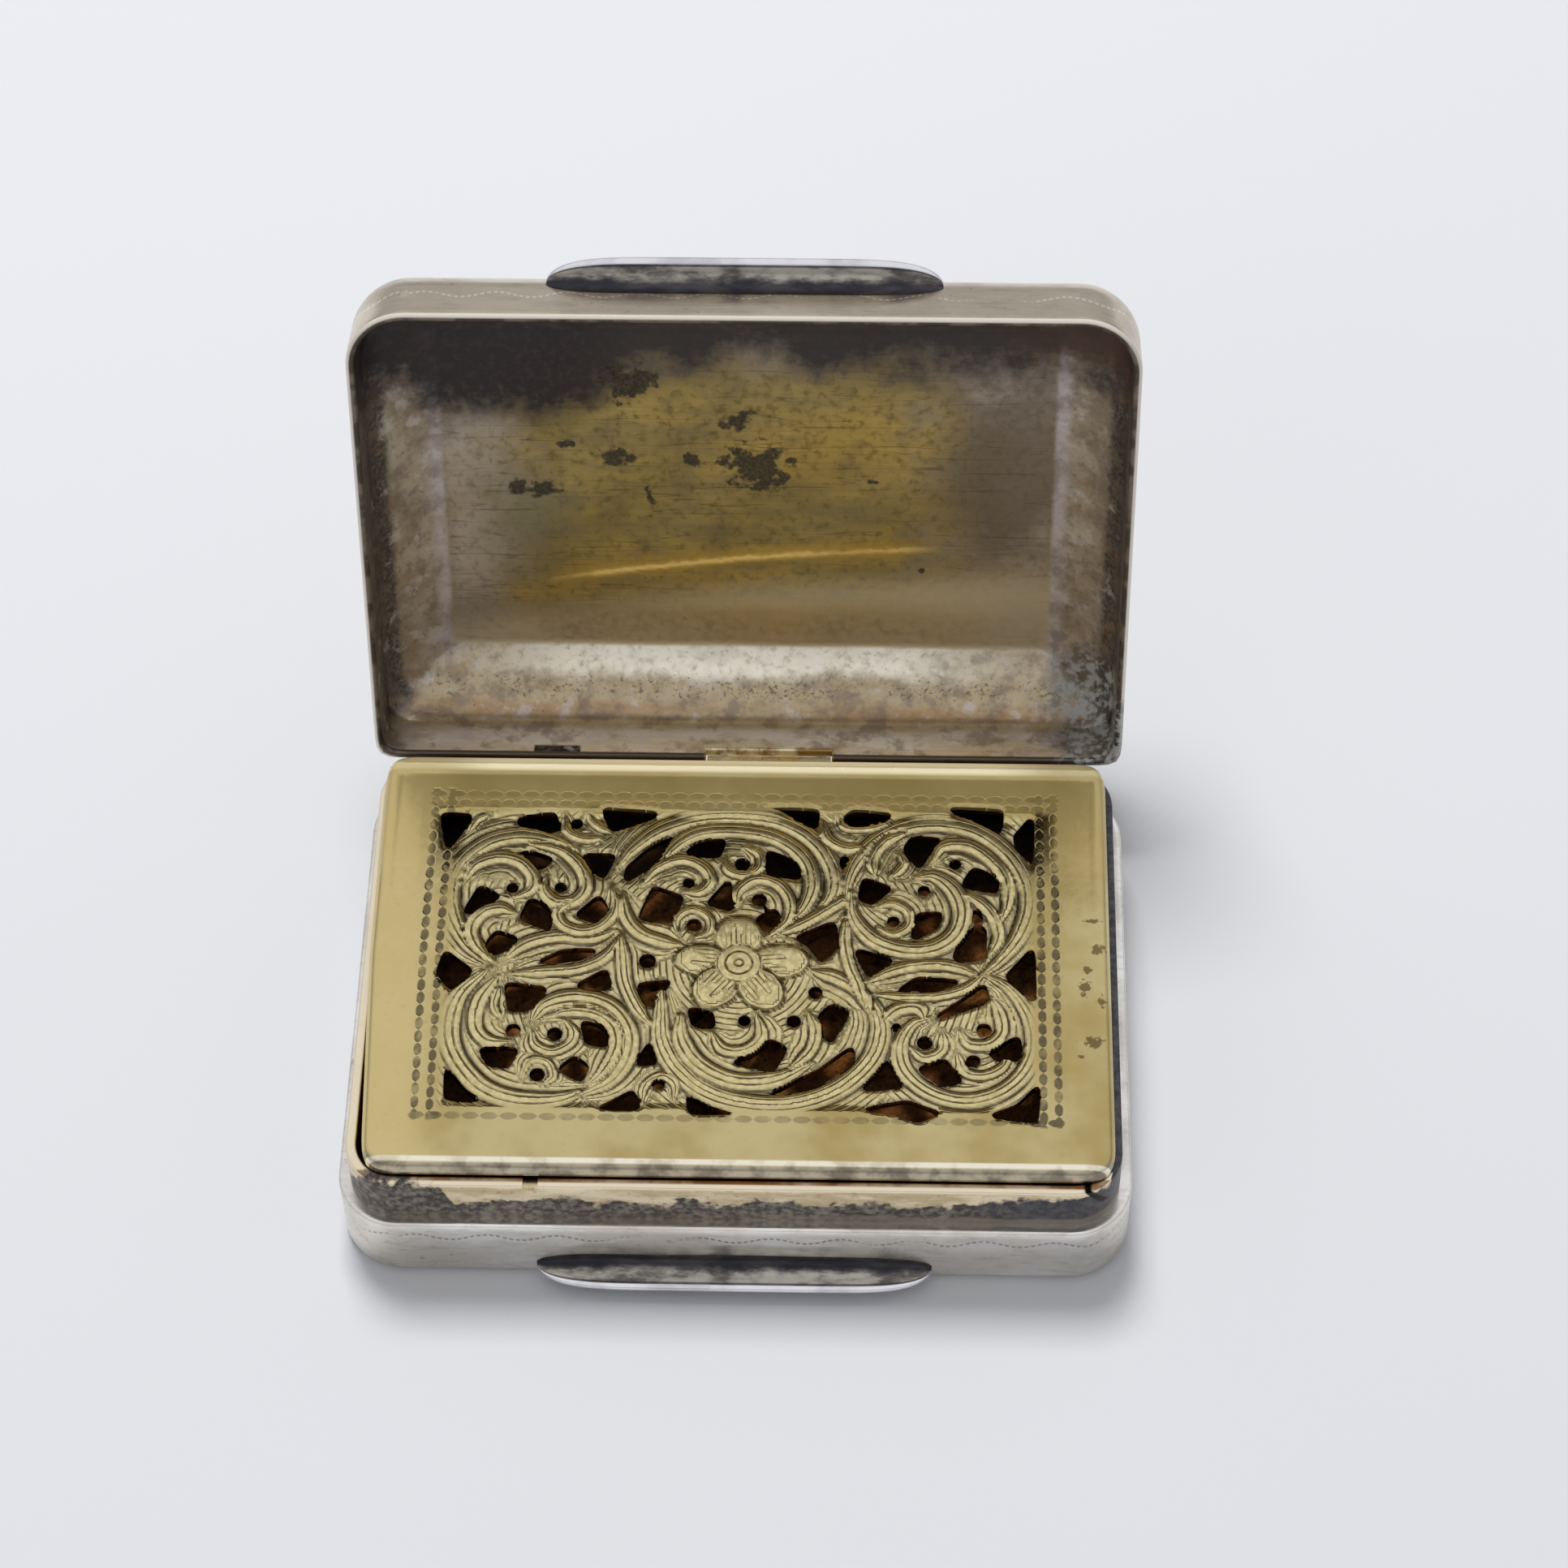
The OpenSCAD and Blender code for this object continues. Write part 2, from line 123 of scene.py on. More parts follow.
def new_piece(name, points, faces, caps=(), sharp=40):
    """Mesh object from points in millimetres, four-cornered faces and many-sided caps."""
    mesh = bpy.data.meshes.new(name)
    mesh.from_pydata((points * MM).tolist(), [], faces.tolist() + [list(map(int, c)) for c in caps])
    mesh.validate()
    mesh.polygons.foreach_set("use_smooth", np.ones(len(mesh.polygons), bool))
    mesh.set_sharp_from_angle(angle=math.radians(sharp))
    piece = bpy.data.objects.new(name, mesh)
    bpy.context.scene.collection.objects.link(piece)
    return piece


def carries(piece, name, values):
    """Keeps one number or one vector for each point of the piece, for its material to read."""
    kind, field = ("FLOAT", "value") if values.ndim == 1 else ("FLOAT_VECTOR", "vector")
    attribute = piece.data.attributes.new(name, kind, "POINT")
    attribute.data.foreach_set(field, values.astype(np.float32).ravel())


def shell_piece(name, spine, normal, points):
    """Closed pan from carried section points, whose first and last rings are capped by small faces."""
    rows, cols = points.shape[:2]
    number = np.arange(rows * cols).reshape(rows, cols)
    faces = grid_faces(rows, cols, ring_rows=True)
    piece = new_piece(name, points.reshape(-1, 3), faces, [number[::-1, 0], number[:, -1]])
    around = spine + normal * CORNER_R
    run = np.concatenate([[0], np.cumsum(np.linalg.norm(np.diff(around, axis=0), axis=1))])
    carries(piece, "run", np.repeat(run, cols))
    return piece


def paint(tone):
    """Linear colour of a six-digit sRGB tone."""
    srgb = np.array([int(tone[i:i + 2], 16) for i in (0, 2, 4)]) / 255
    flat = np.where(srgb <= 0.04045, srgb / 12.92, ((srgb + 0.055) / 1.055) ** 2.4)
    return (*flat.tolist(), 1.0)


def join(tree, value, socket):
    """Links a shade to a socket, or sets the socket to a number or a colour."""
    if isinstance(value, Shade):
        tree.links.new(value.socket, socket)
    else:
        socket.default_value = value


def add(tree, kind, sockets, **settings):
    """New node with its settings, each named input linked from a shade or set to a value."""
    made = tree.nodes.new("ShaderNode" + kind)
    for key, value in settings.items():
        setattr(made, key, value)
    for key, value in sockets.items():
        join(tree, value, made.inputs[key])
    return made


class Shade:
    """A number, a colour or a place that varies over a piece: each sum, product or blend of shades
    becomes a node in the material."""

    def __init__(self, tree, socket):
        self.tree = tree
        self.socket = socket

    def node(self, kind, sockets, output=0, **settings):
        """Output of a new node in the same material."""
        return Shade(self.tree, add(self.tree, kind, sockets, **settings).outputs[output])

    def step(self, operation, *others):
        """One step of arithmetic with other shades or numbers."""
        return self.node("Math", dict(enumerate((self, *others))), operation=operation)

    def __add__(self, other):
        return self.step("ADD", other)

    def __sub__(self, other):
        return self.step("SUBTRACT", other)

    def __rsub__(self, other):
        return self.node("Math", {0: other, 1: self}, operation="SUBTRACT")

    def __mul__(self, other):
        return self.step("MULTIPLY", other)

    def __truediv__(self, other):
        return self.step("DIVIDE", other)

    def __abs__(self):
        return self.step("ABSOLUTE")

    def most(self, other):
        """The larger of two."""
        return self.step("MAXIMUM", other)

    def least(self, other):
        """The smaller of two."""
        return self.step("MINIMUM", other)

    def sway(self, size):
        """Noise brought about zero and scaled."""
        return (self - 0.5) * size

    def span(self, low, high, to_low=0.0, to_high=1.0):
        """Smooth step from to_low where this is low to to_high where it is high."""
        sockets = {"Value": self, "From Min": low, "From Max": high, "To Min": to_low, "To Max": to_high}
        return self.node("MapRange", sockets, interpolation_type="SMOOTHSTEP")

    def between(self, low, high):
        """Colour between two, by this as a share; each is a six-digit tone or another shade."""
        low, high = (paint(c) if isinstance(c, str) else c for c in (low, high))
        return self.node("Mix", {0: self, 6: low, 7: high}, 2, data_type="RGBA")

    def cloud(self, scale, detail=4.0, stretch=(1, 1, 1)):
        """Soft noise around 0.5 at a scale per millimetre of this place, drawn out along an axis by a
        stretch below 1."""
        placed = self.node("VectorMath", {0: self, 1: stretch}, operation="MULTIPLY")
        sockets = {"Vector": placed, "Scale": scale, "Detail": detail, "Roughness": 0.6}
        return self.node("TexNoise", sockets, "Fac")

    def spot(self, x, y, half_x, half_y):
        """Distance of this place from the middle of a spot, as a share of its half sizes along x and y."""
        from_mid = self.node("VectorMath", {0: self, 1: (x, y, 0)}, operation="SUBTRACT")
        shares = (1 / half_x, 1 / half_y, 0)
        scaled = self.node("VectorMath", {0: from_mid, 1: shares}, operation="MULTIPLY")
        return self.node("VectorMath", {0: scaled}, "Value", operation="LENGTH")

    def parts(self):
        """The x, y and z of this place."""
        split = add(self.tree, "SeparateXYZ", {0: self})
        return [Shade(self.tree, split.outputs[axis]) for axis in "XYZ"]

    def carried(self, name):
        """Number that the piece keeps for each of its points under a name."""
        return self.node("Attribute", {}, "Fac", attribute_name=name)


def metal(name):
    """New material, and the place on the piece in millimetres as the piece keeps it."""
    made = bpy.data.materials.new(name)
    made.use_nodes = True
    place = add(made.node_tree, "Attribute", {}, attribute_name="place").outputs["Vector"]
    return made, Shade(made.node_tree, place)


def dress(made, color, metallic, roughness, height, depth):
    """Gives the finish to the material's shader, with a bump whose depth is in millimetres."""
    tree = made.node_tree
    shader = tree.nodes["Principled BSDF"]
    join(tree, color, shader.inputs["Base Color"])
    join(tree, metallic, shader.inputs["Metallic"])
    join(tree, roughness, shader.inputs["Roughness"])
    bump = add(tree, "Bump", {"Height": height, "Strength": 0.6, "Distance": depth * MM})
    tree.links.new(bump.outputs[0], shader.inputs["Normal"])
    return made


def silver_finish(name, low, high, wriggle_at, wriggle, field_at=None):
    """Worn silver: pale and warm grey clouds, dark tarnish flecks and fine scratches, cleaner above a
    height if one is given, with a wriggle line: a sine wave along the wall, cut as a row of dots."""
    made, where = metal(name)
    broad = where.cloud(0.32)
    grain = where.cloud(2.6, 6.0)
    brushed = where.cloud(3.0, 3.0, (0.12, 0.12, 1.6))
    color = broad.span(0.35, 0.68).between(low, high)
    color = brushed.span(0.52, 0.75, 0.0, 0.22).between(color, "857c74")
    flecks = (grain + broad * -0.5).span(0.4, 0.52, 0.0, 0.4)
    color = flecks.between(color, "5d544e")
    fine = where.cloud(5.0, 4.0, (0.2, 0.7, 0.7))
    color = fine.span(0.5, 0.68, 0.0, 0.2).between(color, "8d867f")
    level = where.parts()[2]
    if field_at is not None:
        color = level.span(field_at - 0.8, field_at, 0.0, 0.72).between(color, "e9e6e2")
    run = where.carried("run")
    wave = (run * WRIGGLE_TURN).step("SINE") * WRIGGLE_SWING
    off = abs(level - wriggle_at - wave)
    dots = abs((run * WRIGGLE_DOTS).step("SINE")).span(0.35, 0.75)
    cut = off.span(0.1, 0.04) * (dots * broad.span(0.36, 0.5))
    color = (cut * 0.55).between(color, wriggle)
    height = brushed * 0.5 + grain * -0.4 + cut * -0.8
    rough = broad.span(0.36, 0.66, 0.3, 0.17)
    return dress(made, color, 1.0, rough, height, 0.008)


inner_out = CORNER_R - SHEET
base_section = np.vstack([
    floor_rings(CORNER_R - BASE_EDGE_R, 0, np.linspace(0.02, 0.98, 14)),
    arc(CORNER_R - BASE_EDGE_R, BASE_EDGE_R, BASE_EDGE_R, -90, 0, 9),
    line(CORNER_R, BASE_EDGE_R, CORNER_R, BASE_H - BASE_RIM_R, 8),
    arc(CORNER_R - BASE_RIM_R, BASE_H - BASE_RIM_R, BASE_RIM_R, 0, 90, 5),
    line(CORNER_R - BASE_RIM_R, BASE_H, LEDGE_IN, BASE_H, 3),
    [[LEDGE_IN, BASE_H, 1], [LEDGE_IN, BASE_H - LEDGE_T, 1], [inner_out, BASE_H - LEDGE_T, 1]],
    line(inner_out, BASE_H - LEDGE_T, inner_out, SHEET + BASE_INSIDE_R, 3),
    arc(inner_out - BASE_INSIDE_R, SHEET + BASE_INSIDE_R, BASE_INSIDE_R, 0, -90, 5),
    floor_rings(inner_out - BASE_INSIDE_R, SHEET, np.linspace(0.97, 0.02, 10)),
])
base_spine, base_normal = around_path(CORNER_X, CORNER_Y, 0.35)
base_points = carry(base_spine, base_normal, base_section)
# Hand-raised walls wander by a hundredth of a millimetre
x, y, z = np.moveaxis(base_points, 2, 0)
on_wall = (z > 0.3) & (z < 3.4)
wander = WANDER * np.abs(np.sin(0.5 * x + 0.9 * z) * np.sin(0.4 * y + 0.5)) * on_wall
base_points[..., :2] -= wander[..., None] * base_normal[:, None]
base_pan = shell_piece("base_box", base_spine, base_normal, base_points)
carries(base_pan, "place", base_points.reshape(-1, 3))
base_pan.data.materials.append(silver_finish("worn_silver_base", "dcd5cb", "f2eee8", 2.85, "6b645e"))
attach(base_pan, "base")
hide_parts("base_pan")

# The bezel: a gilt silver strip soldered inside the ledge, which the lid grips when it is shut. The
# gilding survives along its upper half, and the lower half is dark with tarnish along a ragged edge.
BEZEL_OUT = 2.0
BEZEL_T = 0.45
BEZEL_FOOT = 1.2
BEZEL_TOP = 6.1
BEZEL_EDGE_R = 0.12
STRAP_GAP = (-1.88, 3.68)
STRAP_FLOOR = 3.74
NICK = (-8.3, -7.7)
NICK_H = 0.2


def doubled(*edges):
    """Two stations a hair apart at each edge, so that a step there stands upright."""
    return np.sort(np.concatenate([np.array(edges) - 0.004, np.array(edges) + 0.004]))


bezel_in = BEZEL_OUT - BEZEL_T
bezel_round = BEZEL_TOP - BEZEL_EDGE_R
bezel_section = np.vstack([
    [[BEZEL_OUT, BEZEL_FOOT, 1]],
    line(BEZEL_OUT, BEZEL_FOOT, BEZEL_OUT, bezel_round, 14),
    arc(BEZEL_OUT - BEZEL_EDGE_R, bezel_round, BEZEL_EDGE_R, 0, 90, 5),
    arc(bezel_in + BEZEL_EDGE_R, bezel_round, BEZEL_EDGE_R, 90, 180, 5),
    line(bezel_in, bezel_round, bezel_in, BEZEL_FOOT, 8),
    [[bezel_in, BEZEL_FOOT, 1]],
])
bezel_spine, bezel_normal = around_path(CORNER_X, CORNER_Y, 0.3, doubled(*STRAP_GAP, *NICK))
bezel_points = carry(bezel_spine, bezel_normal, bezel_section)
along = bezel_points[:, :1, 0]
behind = (bezel_normal[:, 1:] > 0.99) & (along > STRAP_GAP[0]) & (along < STRAP_GAP[1])
nicked = (bezel_normal[:, 1:] < -0.99) & (along > NICK[0]) & (along < NICK[1])
keep = np.where(behind, (STRAP_FLOOR - BEZEL_FOOT) / (BEZEL_TOP - BEZEL_FOOT), 1.0)
keep = np.where(nicked, 1 - NICK_H / (BEZEL_TOP - BEZEL_FOOT), keep)
bezel_points[..., 2] = BEZEL_FOOT + (bezel_points[..., 2] - BEZEL_FOOT) * keep
bezel_faces = grid_faces(*bezel_points.shape[:2], ring_rows=True, ring_cols=True)
bezel = new_piece("bezel_strip", bezel_points.reshape(-1, 3), bezel_faces)
carries(bezel, "place", bezel_points.reshape(-1, 3))


def bezel_finish():
    """Worn gilding above a ragged line with a painted highlight on its upper edge, mottled grey tarnish
    below it, rust along the inner half of the front's top, and one open seam."""
    made, where = metal("worn_gilt_bezel")
    px, py, level = where.parts()
    patches = where.cloud(0.42, 3.0)
    grain = where.cloud(3.4, 5.0)
    streaks = where.cloud(1.8, 4.0, (0.25, 0.25, 1.0))
    edge = level + patches.sway(2.6) + grain.sway(0.8)
    edge = edge - px.span(7.0, 13.5, 0.0, 0.8) - px.span(14.9, 15.3, 0.0, 1.6)
    edge = edge - abs(px + 13.2).span(2.2, 1.3, 0.0, 1.3)
    gilded = edge.span(4.85, 5.15)
    gold = streaks.span(0.38, 0.62).between("cdb992", "f0e0be")
    gold = grain.span(0.55, 0.72, 0.0, 0.5).between(gold, "8b7354")
    # Painted highlight: the rounded upper edge is tinted near white
    gold = level.span(5.9, 6.0, 0.0, 0.9).between(gold, "f8e8cc")
    rust = level.span(6.0, 6.05) * streaks.span(0.35, 0.6, 0.6, 1.0)
    inner_half = py.span(-9.8, -9.9) * py.span(-10.36, -10.26)
    gold = (rust * inner_half).between(gold, "85582e")
    dark = grain.span(0.36, 0.66).between("4a4541", "8a8279")
    dark = px.span(8.0, 12.0, 0.0, 0.7).between(dark, "44454e")
    foot = (level + patches * 0.5).span(4.5, 4.2, 0.0, 0.75) * px.span(0.0, 7.0, 0.25, 1.0)
    dark = foot.between(dark, "8f877e")
    color = gilded.between(dark, gold)
    # Open seam at the right front corner, leaning a little
    slant = px + (level - 5.4) * 0.6
    seam = abs(slant - 14.5).span(0.2, 0.08) * (level.span(4.7, 5.1) * py.span(-8.6, -9.0))
    color = seam.between(color, "0e0c0c")
    rough = gilded.span(0.0, 1.0, 0.42, 0.27)
    height = grain * 0.3 - seam * 3.0
    return dress(made, color, 1.0, rough, height, 0.02)


bezel.data.materials.append(bezel_finish())
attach(bezel, "base")
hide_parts("base_bezel")

# The thumb lips: two crescent lips of thick silver soldered to the front, one at the foot of the base
# and one on the lid. Each has a hollow upper side, grey with old polish and painted black with shadow at
# its root, and a bright rounded edge.
LIP_HALF = 8.0
LIP_OUT = 1.1
LIP_ROOT = 1.1
LIP_T = 0.4
LIP_FOOT = 0.5
FRONT_Y = -11.0


def lip_points(root_in):
    """Lip carried along x: a section with a round nose and a hollow back, whose reach and height fall off
    towards both ends as (1 - |x / half| ** 7) ** 0.6. Its wall is at y = 0 and its underside at z = 0.
    Beside the points stands how far out in the section each one is, as a share of the whole reach."""
    ends = np.sin(np.radians(np.linspace(-90, 90, 121)))
    swell = np.maximum(1 - np.abs(ends) ** 7, 0) ** 0.6
    nose = np.radians(np.linspace(-90, 70, 9))
    back = np.radians(np.linspace(-75, 0, 12))
    half = LIP_T / 2
    back_r = LIP_ROOT - LIP_T
    back_out = back_r + 0.05 - back_r * np.cos(back)
    back_up = LIP_ROOT + back_r * np.sin(back)
    out = np.concatenate([[-root_in], LIP_OUT - half + half * np.cos(nose), back_out, [-root_in]])
    up = np.concatenate([[0], half + half * np.sin(nose), back_up, [LIP_ROOT]])
    reach = np.where(out[None, :] > 0, out[None, :] * swell[:, None], out[None, :])
    tall = half + (up[None, :] - half) * (0.35 + 0.65 * swell[:, None])
    across = np.broadcast_to(LIP_HALF * ends[:, None], reach.shape)
    share = np.broadcast_to(out[None, :] / LIP_OUT, reach.shape)
    return np.dstack([across, -reach, tall]), share.ravel()


def lip_piece(name, points, place, share):
    """Lip mesh: the section's loop closed, with a flat face at each end."""
    rows, cols = points.shape[:2]
    number = np.arange(rows * cols).reshape(rows, cols)
    faces = grid_faces(rows, cols, ring_cols=True)
    piece = new_piece(name, points.reshape(-1, 3), faces, [number[0], number[-1, ::-1]])
    carries(piece, "place", place.reshape(-1, 3))
    carries(piece, "reach", share)
    return piece


def lip_finish():
    """Silver, bright on the edge and greyer and bluish below as painted shade, with a grey hollow that is
    black at its root as painted shadow and in a line just inside the edge."""
    made, where = metal("lip_silver")
    level = where.parts()[2]
    grain = where.cloud(1.5, 4.0, (0.4, 1, 1))
    broad = where.cloud(0.5, 3.0)
    reach = where.carried("reach")
    hollow = level.span(0.2, 0.34) * reach.span(0.86, 0.8)
    color = broad.span(0.35, 0.65).between("d2cfd4", "eeecf0")
    # Painted shade: greyer and a little bluish on the underside
    color = level.span(0.14, 0.06, 0.0, 0.6).between(color, "b4b4bc")
    color = hollow.between(color, grain.span(0.38, 0.62).between("5f5b57", "b3ada2"))
    # A black line just inside the edge, and painted shadow that blackens the hollow's root
    inner = abs(reach - 0.78).span(0.08, 0.02, 0.0, 0.7)
    root_shadow = (reach + grain.sway(0.35)).span(0.42, 0.16, 0.0, 0.92)
    dark = root_shadow.most(inner) * hollow
    color = dark.between(color, "201e28")
    rough = hollow.span(0.0, 1.0, 0.18, 0.34)
    return dress(made, color, dark.span(0.0, 1.0, 1.0, 0.6), rough, grain, 0.015)


lip_silver = lip_finish()
base_lip_local, base_lip_reach = lip_points(0.0)
base_lip = lip_piece("base_lip", base_lip_local + [0, FRONT_Y, LIP_FOOT], base_lip_local, base_lip_reach)
base_lip.data.materials.append(lip_silver)
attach(base_lip, "base")
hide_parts("base_thumb_lip")

# The sponge: a dried natural sponge cut to fill the base under the grille. It is dark brown with old
# oil, full of pores, and held only by the grille above it.
SPONGE_HALF = (14.5, 9.5)
SPONGE_LOW = 0.4
SPONGE_TOP = 5.2
SPONGE_ROWS = 120
SPONGE_COLS = 360
SPONGE_BLUNT = 6.7


def sponge_points():
    """Flattened pillow: rings of a squared round, |x| ** n + |y| ** n = 1, drawn from the middle of the
    underside out to the side and back to the middle of the top, at a height that falls off steeply only
    near the side. Products of sines pit its surface, and the deepest of them are pores."""
    blunt = SPONGE_BLUNT
    turn = np.linspace(0.012, math.pi - 0.012, SPONGE_ROWS)[:, None]
    around = np.linspace(0, 2 * math.pi, SPONGE_COLS, endpoint=False)[None, :]
    reach = np.sin(turn)
    squared = (np.abs(np.cos(around)) ** blunt + np.abs(np.sin(around)) ** blunt) ** (-1 / blunt)
    sx = SPONGE_HALF[0] * reach * np.cos(around) * squared
    sy = SPONGE_HALF[1] * reach * np.sin(around) * squared
    sz = -np.sign(np.cos(turn)) * (1 - reach ** blunt) ** 0.225
    pits = np.sin(2.9 * sx + 1.3 * np.sin(2.1 * sy)) * np.sin(3.3 * sy + 1.1 * np.sin(2.3 * sx))
    pits = 0.5 + 0.5 * pits * np.sin(5.1 * sx - 4.3 * sy + 3 * sz)
    shrink = 1 - 0.012 * pits
    middle = (SPONGE_LOW + SPONGE_TOP) / 2
    half = (SPONGE_TOP - SPONGE_LOW) / 2
    height = middle + half * sz * (1 - 0.14 * pits - 0.2 * pits ** 4)
    return np.dstack([sx * shrink, sy * shrink, height]), pits


sponge_grid, sponge_pits = sponge_points()
sponge_number = np.arange(SPONGE_ROWS * SPONGE_COLS).reshape(SPONGE_ROWS, SPONGE_COLS)
sponge_faces = grid_faces(SPONGE_ROWS, SPONGE_COLS, ring_cols=True)[:, ::-1]
sponge_caps = [sponge_number[0], sponge_number[-1, ::-1]]
sponge = new_piece("sponge_block", sponge_grid.reshape(-1, 3), sponge_faces, sponge_caps, sharp=180)
carries(sponge, "place", sponge_grid.reshape(-1, 3))
carries(sponge, "pit", sponge_pits.ravel())


def sponge_finish():
    """Brown dried fibre in lighter and darker patches, with painted shade in its pores and deepest pits,
    and painted shadow that turns it black towards the back.
    """
    made, where = metal("dried_sponge")
    pores = where.node("TexVoronoi", {"Vector": where, "Scale": 1.9}, "Distance")
    broad = where.cloud(0.35)
    fibre = where.cloud(5.0, 8.0)
    color = broad.span(0.38, 0.62).between("74461f", "9a6630")
    color = fibre.span(0.4, 0.65, 0.0, 0.7).between(color, "55331a")
    # Painted shade: dark in the pores and the deepest pits
    color = pores.span(0.25, 0.05, 0.0, 0.85).between(color, "2a170b")
    color = where.carried("pit").span(0.6, 0.9, 0.0, 0.8).between(color, "2a170b")
    # Painted shadow: black towards the back
    color = where.parts()[1].span(2.5, 6.0, 0.0, 0.9).between(color, "1a100a")
    height = pores + fibre * 0.6
    return dress(made, color, 0.0, 0.92, height, 0.25)


sponge.data.materials.append(sponge_finish())
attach(sponge, "base")
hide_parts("sponge")

# The grille: one gilt silver plate, sawn and drilled through between foliate scrolls that are then
# engraved line by line. Its edge is turned down over the bezel, and a chain of small cuts frames it.
GRILLE_X = 13.5
GRILLE_Y = 8.15
GRILLE_EDGE = 1.7
GRILLE_ROUND = 0.5
GRILLE_TOP = 6.9
GRILLE_UNDER = 6.4
GRILLE_FOOT = 6.15
GRILLE_EDGE_T = 0.2
BACK_OUT = 0.3
BACK_UP = 0.13
FRONT_LEAN = 0.2
LEFT_FRONT_IN = 0.4
LEFT_BACK_OUT = 0.04
FIELD_COLS = 271
FIELD_ROWS = 165
FIELD_SUNK = 0.11
LINED_X = 12.1
LINED_Y = 7.35
SCROLL_H = 0.07
SCROLL_CUT = 0.035
HOLE_ROUND = 0.06
# Drilled eyes as x, y, radius
EYES = [
    (-7.0, 6.7, 0.3), (-9.5, 3.4, 0.3), (-7.5, 3.45, 0.3),
    (-9.05, -3.6, 0.35), (-7.35, -3.75, 0.35), (-7.95, -5.7, 0.35), (-3.05, -6.1, 0.3),
    (0, 4.75, 0.35), (-2.2, 3.75, 0.3), (-1.9, 1.65, 0.35), (0.75, 2.95, 0.35),
    (-3.75, -0.15, 0.38), (0.3, -3, 0.3), (2.3, -3, 0.33), (3.15, -1.6, 0.33),
    (8.85, 4.85, 0.3), (7.55, 3.5, 0.3), (6.3, 1.95, 0.3),
    (10, -3.3, 0.35), (7.6, -3.95, 0.35), (9.55, -4.8, 0.33),
]
